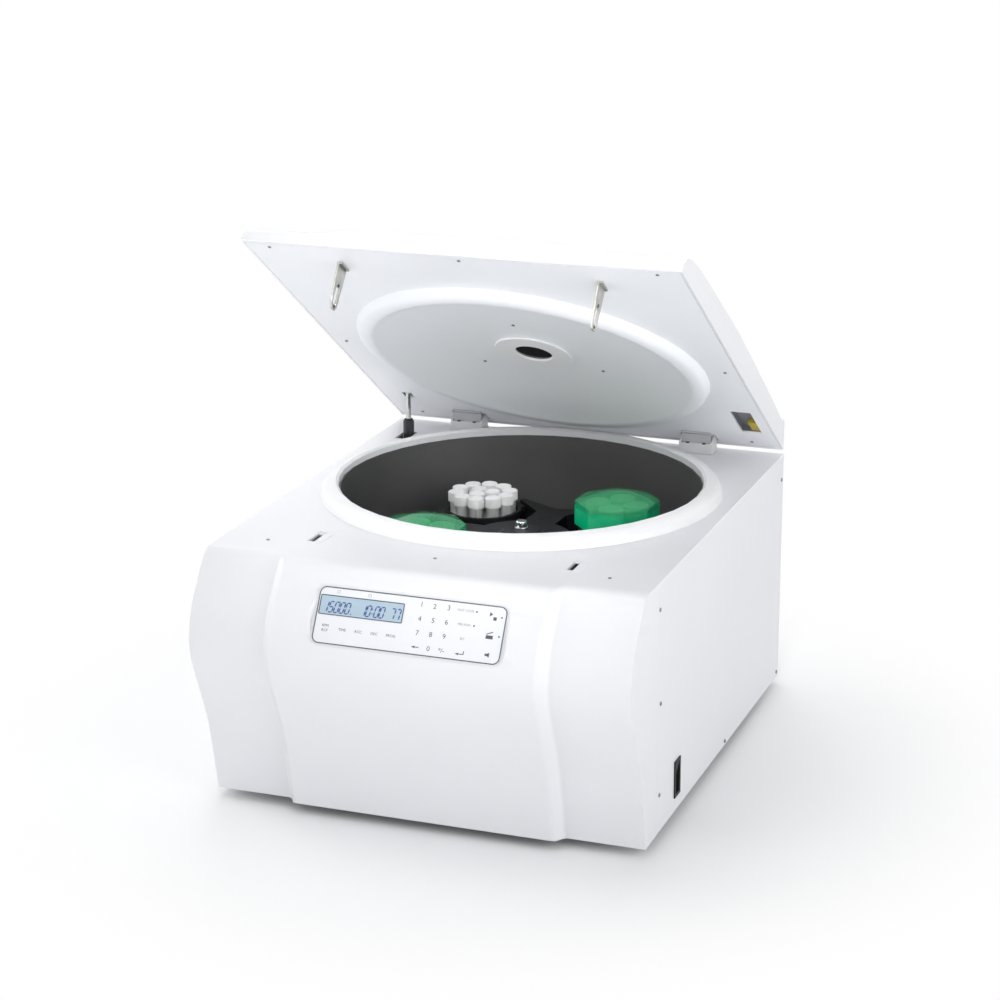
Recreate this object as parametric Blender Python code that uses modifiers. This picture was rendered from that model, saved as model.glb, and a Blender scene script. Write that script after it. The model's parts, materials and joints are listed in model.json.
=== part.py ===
"""Refrigerated benchtop centrifuge with a swing-out rotor, its lid standing open.

Metres, +Z up, X to the right, Y to the back. The origin lies on the bench under the middle of the cabinet.
"""

import math

import bmesh
import bpy
from mathutils import Matrix, Vector

# Clearances and fineness
GAP = 0.0003
RUNNING_GAP = 0.0015
OVERRUN = 0.010
WIDE_STEPS = 40
ROUND_STEPS = 24
SMALL_STEPS = 10

# Cabinet
SIDE_ROOM = 0.018
FRONT_ROOM = 0.0823
REAR_ROOM = 0.0137
CABINET_HEIGHT = 0.320
FOOT_HEIGHT = 0.012
FOOT_RADIUS = 0.018
FOOT_INSET = 0.060
SHEET = 0.0015
BASE_SHEET = 0.002
COVER_WALL = 0.0035
CORNER_RADIUS = 0.005
SEAM_SETBACK = 0.043

# Front moulding: how far it swells past its toe, and the raised middle
BELLY = 0.064
PANEL_RAISE = 0.014
PANEL_HALF_WIDTH = 0.166
PANEL_STEP_WIDTH = 0.016
FRONT_PROFILE_SHARES = (
    (0.0, 0.0), (0.19, 0.18), (0.34, 0.305), (0.60, 0.435), (0.89, 0.57), (1.0, 0.66),
    (0.95, 0.74), (0.81, 0.82), (0.51, 0.905), (0.34, 0.95), (0.19, 0.984), (0.02, 0.998), (-0.14, 1.0))
LIP_SHARE = 0.984
PANEL_STEP_SHARES = ((0.35, 0.93), (0.7, 0.25), (1.0, 0.0))

# Control panel
PANEL_WIDTH = 0.238
PANEL_HEIGHT = 0.070
PANEL_SIDESTEP = 0.0044
PANEL_RISE_SHARE = 0.8403
PANEL_REACH = 0.0565
PANEL_LEAN = math.radians(30.1)
PANEL_CORNER = 0.009
OVERLAY_SHEET = 0.0012
POCKET_MARGIN = 0.002
POCKET_FLARE = 0.009
POCKET_HEIGHT = 0.014
BACKING_SHEET = 0.003
BACKING_MARGIN = 0.010
DISPLAY_WIDTH = 0.106
DISPLAY_HEIGHT = 0.023
DISPLAY_INSET = 0.0035
DISPLAY_DROP = 0.011
BOARD_SHEET = 0.0016
BOARD_STANDOFF = 0.006

# Chamber
BOWL_RADIUS = 0.235
BOWL_WALL = 0.0018
BOWL_FLOOR = 0.140
BOWL_FILLET = 0.030
BOWL_RISE = 0.007
BOWL_FLANGE = 0.014
BOWL_BORE = 0.030
HOLE_MARGIN = 0.0075
COLLAR_HEIGHT = 0.017
COLLAR_MARGIN = 0.0022
COLLAR_WIDTH = 0.027
JACKET_WALL = 0.027
COIL_TUBE = 0.003
COIL_TURNS = 3
COIL_STEPS = 24
COIL_FOOT = 0.005
COIL_CROWN = 0.043

# Drive
MOTOR_RADIUS = 0.060
MOTOR_FLOOR = 0.022
MOTOR_FLANGE = 0.088
MOTOR_FLANGE_HEIGHT = 0.098
MOTOR_FLANGE_SHEET = 0.006
MOTOR_NOSE_RADIUS = 0.020
MOTOR_NOSE_HEIGHT = 0.126
FRAME_WIDTH = 0.220
FRAME_SHEET = 0.004
FRAME_HEIGHT = 0.080
FRAME_LEG = 0.008
DAMPER_RADIUS = 0.011
DAMPER_CIRCLE = 0.076
DAMPER_COUNT = 3
BOOT_TOP_RADIUS = 0.0285
BOOT_FOOT_RADIUS = 0.036
BOOT_WALL = 0.002
SHAFT_RADIUS = 0.0065

# Rotor
ROTOR_TURN = math.radians(42.0)
BUCKET_COUNT = 4
BUCKET_CIRCLE = 0.137
PIVOT_HEIGHT = 0.245
HUB_RADIUS = 0.066
HUB_BOSS = 0.030
HUB_BOSS_HEIGHT = 0.021
ARM_HALF_WIDTH = 0.022
ARM_HALF_HEIGHT = 0.012
ARM_REACH = 0.150
ARM_TIP = 0.0065
ARM_WAIST = 0.088
ARM_CLEARANCE = 0.0595
PIN_RADIUS = 0.005
PIN_LENGTH = 0.008
NUT_RADIUS = 0.0078
NUT_FLANGE = 0.0090
NUT_HEIGHT = 0.011

# Buckets
BUCKET_RADIUS = 0.050
BUCKET_WALL = 0.0025
BUCKET_DEPTH = 0.090
BUCKET_BASE_RADIUS = 0.026
BUCKET_CHAMFER = 0.012
BUCKET_HEEL = 0.0035
BUCKET_RIM = 0.011
RIM_OVERHANG = 0.002
RIM_BAND = 0.008
PAD_REACH = 0.0575
PAD_HALF_WIDTH = 0.012
PAD_HALF_HEIGHT = 0.011
PIN_CLEARANCE = 0.0006
CAP_CORNER_RADIUS = 0.0565
CAP_SIDES = 8
CAP_WALL = 0.0025
CAP_SHOULDER = 0.044
CAP_TOP = 0.056
CAP_FLAT = 0.016
RACK_RADIUS = 0.0455
RACK_TOP = 0.004
TUBE_RADIUS = 0.0078
TUBE_CAP_RADIUS = 0.0108
TUBE_CAP_HEIGHT = 0.0135
TUBE_CAP_TOP = 0.0315
TUBES_INSIDE = 3
TUBES_OUTSIDE = 10
INSIDE_RING = 0.0130
OUTSIDE_RING = 0.0362

# Lid
LID_SHORT = 0.008
LID_HEIGHT = 0.040
LID_WALL = 0.003
LID_OPEN = math.radians(34.7)
LID_LIFT = 0.020
HINGE_SETBACK = 0.024
HINGE_INSET = 0.022
BAND_RAISE = 0.0065
BAND_HALF_WIDTH = 0.142
BAND_STEP_WIDTH = 0.055
BAND_STEP_SHARES = ((0.3, 0.9), (0.65, 0.3), (1.0, 0.0))
LID_PROFILE_SHARES = (
    (0.0, 0.0), (0.036, 0.86), (0.045, 0.86), (0.051, 0.74), (0.20, 0.86), (0.36, 0.94), (0.54, 1.0),
    (0.70, 0.95), (0.83, 0.88), (0.90, 0.82), (0.948, 0.72), (0.977, 0.55), (0.993, 0.31), (0.998, 0.10),
    (1.0, 0.0))
BAND_FROM_SHARE = 0.06
BAND_TO_SHARE = 0.985
LINER_SHEET = 0.0025
LINER_REAR = 0.0065
LINER_FRONT = 0.006
BOSS_MARGIN = 0.0015
BOSS_DROP = 0.013
BOSS_ROUND = 0.020
DISH_RISE = 0.010
DISH_PROFILE_SHARES = ((0.976, -0.85), (0.91, -0.32), (0.70, 0.40), (0.42, 0.86), (0.24, 0.99))
WINDOW_RADIUS = 0.0245
RING_RADIUS = 0.052
RING_TUBE = 0.0275
RING_DROP = 0.0035
WINDOW_RECESS = 0.0025
WINDOW_LIP = 0.0015
LINER_BORE = 0.029

# Latches
SLOT_HALF_SPACING = 0.167
SLOT_LEAD = 0.003
SLOT_LENGTH = 0.037
SLOT_WIDTH = 0.010
HOOK_SHEET = 0.0025
HOOK_WIDTH = 0.026
HOOK_TIP_WIDTH = 0.018
HOOK_LENGTH = 0.058
HOOK_FOOT = 0.005
HOOK_WINDOW_WIDTH = 0.010
HOOK_WINDOW_FROM = 0.0285
HOOK_WINDOW_LENGTH = 0.023
HOOK_INSET = 0.059
LATCH_BOX_WIDTH = 0.046
LATCH_BOX_LENGTH = 0.050
LATCH_BOX_DEPTH = 0.064
LATCH_BOX_WALL = 0.002
PAWL_OFFSET = 0.013
PAWL_REACH = 0.018
PAWL_RADIUS = 0.0055
PAWL_SHEET = 0.008
PAWL_NOSE = 0.003
PAWL_SWING = math.radians(70.0)
PAWL_PIN = 0.002
PAWL_SEAT = 0.0085

# Hinges
HINGE_HALF_SPACING = 0.1665
HINGE_HALF_WIDTH = 0.0235
HINGE_EAR = 0.003
HINGE_PAD = 0.003
HINGE_FRONT = 0.018
HINGE_FRONT_HEIGHT = 0.014
HINGE_BACK = 0.010
EAR_RADIUS = 0.006
HINGE_PIN = 0.0035
BARREL_RADIUS = 0.0058
LEAF_SHEET = 0.0025
LEAF_LENGTH = 0.020
TAB_SETBACK = 0.0125
TAB_TOP = 0.0075
TAB_HEIGHT = 0.0135

# Gas strut
STRUT_INSET = 0.040
STRUT_FOOT_INSET = 0.075
STRUT_FOOT_DROP = 0.190
STRUT_RADIUS = 0.0076
STRUT_LENGTH = 0.2090
ROD_RADIUS = 0.004
ROD_OVERLAP = 0.060
ROD_BORE_CLEARANCE = 0.0005
STRUT_LID_DISTANCE = 0.0918
STRUT_LID_RISE = 0.009
STRUT_HEAD_RADIUS = 0.006
STRUT_HEAD_WIDTH = 0.012
STRUT_EYE_RADIUS = 0.009
STRUT_PIN = 0.004
STRUT_HOLE_HALF_WIDTH = 0.0095
STRUT_HOLE_AHEAD = 0.0265
STRUT_HOLE_BEHIND = 0.0105
STUD_PLATE = 0.003
STUD_PLATE_HALF_WIDTH = 0.008
STRUT_POCKET_WIDTH = 0.014
STRUT_POCKET_FROM = 0.0788
STRUT_POCKET_LENGTH = 0.0185
POCKET_INSET = 0.032
POCKET_DISTANCE = 0.098
POCKET_WIDTH = 0.028
POCKET_LENGTH = 0.080

# Rear, side and cooling pieces
SWITCH_SETBACK = 0.126
SWITCH_HEIGHT = 0.043
SWITCH_WIDTH = 0.024
SWITCH_LENGTH = 0.048
SWITCH_FLANGE = 0.0015
SWITCH_RIM = 0.002
SWITCH_BODY = 0.020
ROCKER_PROUD = 0.0035
ROCKER_DEPTH = 0.009
ROCKER_ROCK = 0.0018
ROCKER_TILT = math.radians(6.0)
ROCKER_SINK = 0.004
INLET_INSET = 0.075
INLET_HEIGHT = 0.050
INLET_WIDTH = 0.050
INLET_TALL = 0.030
INLET_FLANGE = 0.002
INLET_BODY_WIDTH = 0.030
INLET_BODY_TALL = 0.022
INLET_BODY_DEPTH = 0.026
INLET_WALL = 0.002
BLADE_WIDTH = 0.002
BLADE_TALL = 0.006
BLADE_LENGTH = 0.016
BLADE_SPACING = 0.007
VENT_COUNT = 9
VENT_PITCH = 0.011
VENT_TALL = 0.005
VENT_WIDTH = 0.220
VENT_X = -0.060
VENT_HEIGHT = 0.030
COMPRESSOR_SIDE_ROOM = 0.049
COMPRESSOR_FRAME_ROOM = 0.009
COMPRESSOR_REAR_INSET = 0.16785
COMPRESSOR_HEIGHT = 0.108
COMPRESSOR_FOOT_MARGIN = 0.009
COMPRESSOR_FOOT_SHEET = 0.003
COMPRESSOR_GROMMET = 0.004
CONDENSER_WIDTH = 0.230
CONDENSER_TALL = 0.105
CONDENSER_DEPTH = 0.026
CONDENSER_BACK = 0.006
FIN_COUNT = 20
FIN_SHARE = 0.45
FIN_ROOT_SHARE = 0.35
FAN_SIZE = 0.108
FAN_DEPTH = 0.024
FAN_BORE = 0.050
FAN_HUB = 0.019
FAN_TIP = 0.0475
FAN_ARM = 0.005
FAN_BACK = 0.006
FAN_BLADES = 7
FAN_BLADE_SHEET = 0.0016
FAN_BLADE_PITCH = math.radians(38.0)
FAN_BLADE_CHORD = 0.015
FAN_CUP = 0.012
PIPE_RADIUS = 0.003
DRIER_RADIUS = 0.010
DRIER_LENGTH = 0.090
DRIVE_BOARD_SIDE_INSET = 0.130
DRIVE_BOARD_FRONT_INSET = 0.08215
DRIVE_BOARD_WIDTH = 0.180
DRIVE_BOARD_LENGTH = 0.100

# Places worked out from the sizes above
HOLE_RADIUS = BOWL_RADIUS + HOLE_MARGIN
COLLAR_RADIUS = BOWL_RADIUS + COLLAR_MARGIN
COLLAR_FOOT = BOWL_RADIUS + COLLAR_WIDTH
JACKET_RADIUS = BOWL_RADIUS + JACKET_WALL
CABINET_WIDTH = 2 * (JACKET_RADIUS + SIDE_ROOM)
CABINET_DEPTH = FRONT_ROOM + 2 * JACKET_RADIUS + REAR_ROOM
HALF_WIDTH = CABINET_WIDTH / 2
REAR_Y = (CABINET_DEPTH + BELLY + PANEL_RAISE - GAP - INLET_FLANGE) / 2
TOE_Y = REAR_Y - CABINET_DEPTH
BASE_Z = FOOT_HEIGHT
TOP_Z = BASE_Z + CABINET_HEIGHT
BOWL_Y = TOE_Y + FRONT_ROOM + JACKET_RADIUS
PIVOT_Z = BASE_Z + PIVOT_HEIGHT
LIP_DROP = CABINET_HEIGHT * (1 - LIP_SHARE)
HINGE_Y = REAR_Y - HINGE_INSET
HINGE_Z = TOP_Z + LID_LIFT
SIDE_INSIDE = HALF_WIDTH - SHEET - GAP
REAR_INSIDE = REAR_Y - SHEET - GAP
FLOOR_Z = BASE_Z + BASE_SHEET + GAP
BOWL_FLOOR_Z = BASE_Z + BOWL_FLOOR
LID_LENGTH = CABINET_DEPTH - LID_SHORT
HOOK_DISTANCE = LID_LENGTH - HOOK_INSET
SLOT_Y = HINGE_Y + HINGE_SETBACK - HOOK_DISTANCE + SLOT_LEAD
BOSS_RADIUS = BOWL_RADIUS - BOSS_MARGIN
BOSS_CREST = BOSS_RADIUS - BOSS_ROUND
STRUT_X = STRUT_INSET - HALF_WIDTH
STRUT_FOOT_Y = REAR_Y - STRUT_FOOT_INSET
COMPRESSOR_RADIUS = (HALF_WIDTH - COMPRESSOR_SIDE_ROOM - FRAME_WIDTH / 2 - COMPRESSOR_FRAME_ROOM) / 2
COMPRESSOR_X = HALF_WIDTH - COMPRESSOR_SIDE_ROOM - COMPRESSOR_RADIUS
COMPRESSOR_Y = REAR_Y - COMPRESSOR_REAR_INSET
DRIVE_BOARD_X = DRIVE_BOARD_SIDE_INSET - HALF_WIDTH
DRIVE_BOARD_Y = TOE_Y + DRIVE_BOARD_FRONT_INSET


def clear_scene():
    for thing in list(bpy.data.objects):
        bpy.data.objects.remove(thing, do_unlink=True)


def collection(name):
    made = bpy.data.collections.new(name)
    bpy.context.scene.collection.children.link(made)
    return made


def material(name, colour, roughness, metallic=0.0):
    """A Principled surface; colour is linear RGB or RGBA."""
    made = bpy.data.materials.new(name)
    made.use_nodes = True
    surface = made.node_tree.nodes["Principled BSDF"]
    surface.inputs["Base Color"].default_value = (*colour[:3], 1.0)
    surface.inputs["Roughness"].default_value = roughness
    surface.inputs["Metallic"].default_value = metallic
    return made


def place(name, data, parent=None, matrix=None):
    """A new object for the data, linked to the parts, under its parent."""
    made = bpy.data.objects.new(name, data)
    PARTS.objects.link(made)
    made.parent = parent
    if matrix is not None:
        made.matrix_local = matrix
    return made


def empty(name, location, rotation=(0.0, 0.0, 0.0), parent=None):
    made = place(name, None, parent)
    made.location = location
    made.rotation_euler = rotation
    return made


def mesh_object(name, shape, parent=None, matrix=None):
    data = bpy.data.meshes.new(name)
    shape.to_mesh(data)
    shape.free()
    return place(name, data, parent, matrix)


def dress(thing, name, finish):
    """The finished piece gets its name and its material, and its round faces are shaded smooth."""
    thing.name = name
    thing.data.materials.clear()
    thing.data.materials.append(FINISHES[finish])
    thing.data.shade_smooth()
    thing.data.set_sharp_from_angle(angle=math.radians(35))
    return thing


def blocks(name, spans, parent=None, matrix=None):
    """One box for each span of low and high corners."""
    shape = bmesh.new()
    for low, high in spans:
        centre = (Vector(low) + Vector(high)) / 2
        size = Vector(high) - Vector(low)
        spot = Matrix.Translation(centre) @ Matrix.Diagonal((*size, 1))
        bmesh.ops.create_cube(shape, size=1, matrix=spot)
    return mesh_object(name, shape, parent, matrix)


def block(name, low, high, parent=None, matrix=None):
    return blocks(name, ((low, high),), parent, matrix)


def rods(name, radius, length, places, axis="Z", steps=SMALL_STEPS, parent=None, top_radius=None):
    """A cylinder or cone at each place, centred there along the axis."""
    turns = {"X": Matrix.Rotation(math.pi / 2, 4, "Y"), "Y": Matrix.Rotation(-math.pi / 2, 4, "X"),
             "Z": Matrix.Identity(4)}
    tip = radius if top_radius is None else top_radius
    shape = bmesh.new()
    for spot in places:
        bmesh.ops.create_cone(shape, cap_ends=True, segments=steps, radius1=radius, radius2=tip,
                              depth=length,
                              matrix=Matrix.Translation(spot) @ turns[axis])
    return mesh_object(name, shape, parent)


def turned(name, profile, steps=WIDE_STEPS, parent=None, matrix=None):
    """A profile of (radius, height) points turned about Z, down its outer side first."""
    data = bpy.data.meshes.new(name)
    points = [(radius, 0.0, height) for radius, height in profile]
    links = [(i, (i + 1) % len(points)) for i in range(len(points))]
    edges = [(a, b) for a, b in links if points[a][0] or points[b][0]]
    data.from_pydata(points, edges, [])
    made = place(name, data, parent, matrix)
    screw = made.modifiers.new("Turn", "SCREW")
    screw.axis = "Z"
    screw.steps = steps
    screw.render_steps = steps
    screw.use_merge_vertices = True
    screw.merge_threshold = 0.00001
    screw.use_smooth_shade = True
    return made


def as_mesh(thing):
    """The curve or modified object as a plain mesh object in the same place."""
    graph = bpy.context.evaluated_depsgraph_get()
    graph.update()
    data = bpy.data.meshes.new_from_object(thing.evaluated_get(graph))
    shape = bmesh.new()
    shape.from_mesh(data)
    bmesh.ops.remove_doubles(shape, verts=shape.verts, dist=0.000001)
    shape.to_mesh(data)
    shape.free()
    made = place(thing.name + "_mesh", data, thing.parent)
    made.matrix_parent_inverse = thing.matrix_parent_inverse
    made.matrix_basis = thing.matrix_basis
    bpy.data.objects.remove(thing, do_unlink=True)
    return made


def flat(name, outline, thickness, parent=None, matrix=None):
    """A flat outline in XY, as thick as said, its middle plane at zero."""
    data = bpy.data.curves.new(name, "CURVE")
    data.dimensions = "2D"
    data.fill_mode = "BOTH"
    data.extrude = thickness / 2
    line = data.splines.new("POLY")
    line.points.add(len(outline) - 1)
    for point, (across, along) in zip(line.points, outline):
        point.co = (across, along, 0.0, 1.0)
    line.use_cyclic_u = True
    return as_mesh(place(name, data, parent, matrix))


def pipe(name, points, radius, parent=None, poly=False, sides=1):
    """A round tube along the points, with closed ends."""
    data = bpy.data.curves.new(name, "CURVE")
    data.dimensions = "3D"
    data.bevel_depth = radius
    data.bevel_resolution = sides
    data.use_fill_caps = True
    data.resolution_u = 3
    line = data.splines.new("POLY" if poly else "NURBS")
    line.points.add(len(points) - 1)
    for point, spot in zip(line.points, points):
        point.co = (*spot, 1.0)
    if not poly:
        line.order_u = 3
        line.use_endpoint_u = True
    return as_mesh(place(name, data, parent))


def boolean(thing, other, operation):
    """The other object cuts or joins the thing, and becomes a guide."""
    step = thing.modifiers.new(other.name, "BOOLEAN")
    step.operation = operation
    step.solver = "EXACT"
    step.object = other
    PARTS.objects.unlink(other)
    CUTTERS.objects.link(other)
    other.hide_render = True
    other.display_type = "WIRE"
    return thing


def cut(thing, *cutters):
    for cutter in cutters:
        boolean(thing, cutter, "DIFFERENCE")
    return thing


def join(thing, *pieces):
    for piece in pieces:
        boolean(thing, piece, "UNION")
    return thing


def bevel(thing, width, segments=2, angle=math.radians(40)):
    step = thing.modifiers.new("Soft edges", "BEVEL")
    step.width = width
    step.segments = segments
    step.limit_method = "ANGLE"
    step.angle_limit = angle
    return thing


def round_corners(half_width, half_height, radius, steps=4):
    """The outline of a rectangle with round corners."""
    outline = []
    for corner, (side, rise) in enumerate(((1, 1), (-1, 1), (-1, -1), (1, -1))):
        for step in range(steps + 1):
            angle = (corner + step / steps) * math.pi / 2
            outline.append((side * (half_width - radius) + radius * math.cos(angle),
                            rise * (half_height - radius) + radius * math.sin(angle)))
    return outline


def arc(centre, radius, start, end, steps):
    """Points along an arc, its angles in degrees."""
    angles = [math.radians(start + (end - start) * step / steps) for step in range(steps + 1)]
    return [(centre[0] + radius * math.cos(angle), centre[1] + radius * math.sin(angle))
            for angle in angles]


def smooth_line(control, span_steps=2):
    """Points on a Catmull-Rom curve through the control points."""
    padded = [control[0], *control, control[-1]]
    line = []
    for a, b, c, d in zip(padded, padded[1:], padded[2:], padded[3:]):
        for step in range(span_steps):
            t = step / span_steps
            line.append(tuple(
                (2 * q + (r - p) * t + (2 * p - 5 * q + 4 * r - s) * t ** 2
                 + (3 * q - p - 3 * r + s) * t ** 3) / 2
                for p, q, r, s in zip(a, b, c, d)))
    line.append(control[-1])
    return line


def half_sheet(name, patches, parent=None):
    """Rows of points at X of zero or more become one open sheet, mirrored, with its faces up and out."""
    shape = bmesh.new()
    for rows in patches:
        grid = [[shape.verts.new(point) for point in row] for row in rows]
        for low, high in zip(grid, grid[1:]):
            for a, b, c, d in zip(low, low[1:], high[1:], high):
                shape.faces.new((a, b, c, d))
    bmesh.ops.remove_doubles(shape, verts=shape.verts, dist=0.000001)
    bmesh.ops.dissolve_degenerate(shape, edges=shape.edges, dist=0.000001)
    bmesh.ops.recalc_face_normals(shape, faces=shape.faces)
    highest = max(shape.faces, key=lambda face: face.calc_center_median().z)
    if highest.normal.z < 0:
        bmesh.ops.reverse_faces(shape, faces=shape.faces)
    made = mesh_object(name, shape, parent)
    mirror = made.modifiers.new("Other half", "MIRROR")
    mirror.use_axis = (True, False, False)
    mirror.merge_threshold = 0.00001
    return made


def shell(thing, thickness):
    bevel(thing, CORNER_RADIUS, angle=math.radians(75))
    step = thing.modifiers.new("Wall", "SOLIDIFY")
    step.thickness = thickness
    step.offset = -1.0
    step.use_even_offset = True
    return thing


def at(x, y, z):
    return Matrix.Translation((x, y, z))


def facing_side(x, y, z):
    """A flat outline's across and along turn to Y and Z, its thickness to X."""
    return at(x, y, z) @ Matrix(((0, 0, 1, 0), (1, 0, 0, 0), (0, 1, 0, 0), (0, 0, 0, 1)))


def facing_front(x, y, z):
    """A flat outline's across and along turn to X and Z, its thickness to Y."""
    return at(x, y, z) @ Matrix.Rotation(math.pi / 2, 4, "X")


# Cabinet

def front_rows():
    """Rows across half of the front, from the toe up to the fold, raised in the middle."""
    control = [(out * BELLY, up * CABINET_HEIGHT) for out, up in FRONT_PROFILE_SHARES]
    columns = [(0.0, 1.0), (PANEL_HALF_WIDTH, 1.0)]
    columns += [(PANEL_HALF_WIDTH + across * PANEL_STEP_WIDTH, raised)
                for across, raised in PANEL_STEP_SHARES]
    columns.append((HALF_WIDTH, 0.0))
    return [[Vector((x, TOE_Y - out - raised * PANEL_RAISE, BASE_Z + up)) for x, raised in columns]
            for out, up in smooth_line(control)]


def panel_plane():
    """An empty in the plane of the control panel, its Z pointing out of the panel."""
    spot = (PANEL_SIDESTEP, TOE_Y - PANEL_REACH, BASE_Z + CABINET_HEIGHT * PANEL_RISE_SHARE)
    return empty("panel_plane", spot, (math.pi / 2 - PANEL_LEAN, 0.0, 0.0))


def panel_pocket(plane):
    """The cutter for the panel's pocket, wider towards the outside."""
    half = Vector((PANEL_WIDTH / 2 + POCKET_MARGIN, PANEL_HEIGHT / 2 + POCKET_MARGIN, 0))
    floor = -OVERLAY_SHEET - GAP
    outline = round_corners(half.x, half.y, PANEL_CORNER + POCKET_MARGIN)
    pocket = flat("pocket", outline, POCKET_HEIGHT, plane)
    for vertex in pocket.data.vertices:
        if vertex.co.z > 0:
            vertex.co.x += math.copysign(POCKET_FLARE, vertex.co.x)
            vertex.co.y += math.copysign(POCKET_FLARE / 2, vertex.co.y)
        vertex.co.z += floor + POCKET_HEIGHT / 2
    return pocket


def front_top_cover(plane):
    rows = front_rows()
    seam_y = TOE_Y + SEAM_SETBACK
    lip_z = TOP_Z - LIP_DROP
    across = [point.x for point in rows[0]]
    top = [rows[-1]]
    top += [[Vector((x, y, TOP_Z)) for x in across] for y in (seam_y, REAR_Y)]
    top.append([Vector((x, REAR_Y, lip_z)) for x in across])
    side = [[row[-1], Vector((HALF_WIDTH, seam_y, row[-1].z if row[-1].z < lip_z + GAP else TOP_Z))]
            for row in rows]
    lip = [[Vector((HALF_WIDTH, seam_y, z)), Vector((HALF_WIDTH, REAR_Y, z))] for z in (TOP_Z, lip_z)]
    cover = shell(half_sheet("cover", (rows, top, side, lip)), COVER_WALL)
    half = Vector((PANEL_WIDTH / 2 + BACKING_MARGIN, PANEL_HEIGHT / 2 + POCKET_MARGIN / 2, 0))
    floor = -OVERLAY_SHEET - GAP
    top = floor + POCKET_MARGIN / 2
    backing = block("backing", (-half.x, -half.y, floor - BACKING_SHEET), (half.x, half.y, top), plane)
    join(cover, backing)
    cut(cover, panel_pocket(plane))
    hole = rods("bowl_hole", HOLE_RADIUS, LID_LIFT, [(0, BOWL_Y, TOP_Z)], steps=WIDE_STEPS)
    slots = blocks("slots", [
        ((side * SLOT_HALF_SPACING - SLOT_WIDTH / 2, SLOT_Y - SLOT_LENGTH / 2, TOP_Z - OVERRUN),
         (side * SLOT_HALF_SPACING + SLOT_WIDTH / 2, SLOT_Y + SLOT_LENGTH / 2, TOP_Z + OVERRUN))
        for side in (-1, 1)])
    strut_hole = block("strut_hole",
                       (STRUT_X - STRUT_HOLE_HALF_WIDTH, STRUT_FOOT_Y - STRUT_HOLE_AHEAD, TOP_Z - OVERRUN),
                       (STRUT_X + STRUT_HOLE_HALF_WIDTH, STRUT_FOOT_Y + STRUT_HOLE_BEHIND, TOP_Z + OVERRUN))
    display = block("display_hole", *display_span(GAP, OVERRUN), parent=plane)
    cut(cover, hole, slots, strut_hole, display)
    return dress(cover, "front_top_cover", "cabinet_white")


def side_panel(side, name):
    low = Vector((HALF_WIDTH - SHEET, TOE_Y + SEAM_SETBACK + GAP, BASE_Z))
    high = Vector((HALF_WIDTH, REAR_Y, TOP_Z - LIP_DROP - GAP))
    if side < 0:
        low.x, high.x = -high.x, -low.x
    panel = block(name, low, high)
    if side > 0:
        half = Vector((0, SWITCH_WIDTH / 2 - SWITCH_RIM, SWITCH_LENGTH / 2 - SWITCH_RIM))
        middle = switch_place()
        reach = Vector((OVERRUN, 0, 0))
        cut(panel, block("switch_hole", middle - half - reach, middle + half + reach))
    return dress(panel, name, "panel_white")


def rear_panel():
    low = Vector((-SIDE_INSIDE, REAR_Y - SHEET, BASE_Z))
    high = Vector((SIDE_INSIDE, REAR_Y, TOP_Z - LIP_DROP - GAP))
    panel = block("rear", low, high)
    vents = blocks("vents", [
        ((VENT_X - VENT_WIDTH / 2, REAR_Y - OVERRUN, BASE_Z + VENT_HEIGHT + row * VENT_PITCH),
         (VENT_X + VENT_WIDTH / 2, REAR_Y + OVERRUN, BASE_Z + VENT_HEIGHT + row * VENT_PITCH + VENT_TALL))
        for row in range(VENT_COUNT)])
    half = Vector((INLET_BODY_WIDTH / 2 + GAP, OVERRUN, INLET_BODY_TALL / 2 + GAP))
    middle = inlet_place()
    inlet_hole = block("inlet_hole", middle - half, middle + half)
    return dress(cut(panel, vents, inlet_hole), "rear_panel", "panel_white")


def base_plate():
    """The floor sheet, narrower at the front where the moulding turns back at the sides."""
    seam_y = TOE_Y + SEAM_SETBACK + GAP
    inside = HALF_WIDTH - COVER_WALL - GAP
    plate = block("base", (-SIDE_INSIDE, seam_y, BASE_Z), (SIDE_INSIDE, REAR_INSIDE, BASE_Z + BASE_SHEET))
    tongue = block("tongue", (-inside, TOE_Y + COVER_WALL + GAP, BASE_Z),
                   (inside, seam_y + BASE_SHEET, BASE_Z + BASE_SHEET))
    join(plate, tongue)
    intakes = blocks("intakes", [
        ((x, REAR_INSIDE - FOOT_INSET * 2, BASE_Z - OVERRUN),
         (x + VENT_TALL, REAR_INSIDE - FOOT_INSET, BASE_Z + OVERRUN))
        for x in (VENT_X + (row - VENT_COUNT / 2) * VENT_PITCH for row in range(VENT_COUNT))])
    return dress(cut(plate, intakes), "base_plate", "sheet_steel")


def feet():
    for end, y in (("front", TOE_Y + FOOT_INSET), ("rear", REAR_Y - FOOT_INSET)):
        for side, x in (("left", -HALF_WIDTH + FOOT_INSET), ("right", HALF_WIDTH - FOOT_INSET)):
            height = FOOT_HEIGHT - GAP
            foot = rods("foot", FOOT_RADIUS, height, [(x, y, height / 2)], steps=SMALL_STEPS,
                        top_radius=FOOT_RADIUS * 0.85)
            dress(foot, f"foot_{end}_{side}", "rubber_black")


# Control panel

def display_span(margin=0.0, depth=0.0):
    """The display's corners in the panel plane, grown by the margin."""
    left = -PANEL_WIDTH / 2 + DISPLAY_INSET - margin
    top = PANEL_HEIGHT / 2 - DISPLAY_DROP + margin
    right = left + DISPLAY_WIDTH + 2 * margin
    bottom = top - DISPLAY_HEIGHT - 2 * margin
    return (left, bottom, -OVERLAY_SHEET - depth), (right, top, depth)


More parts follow.
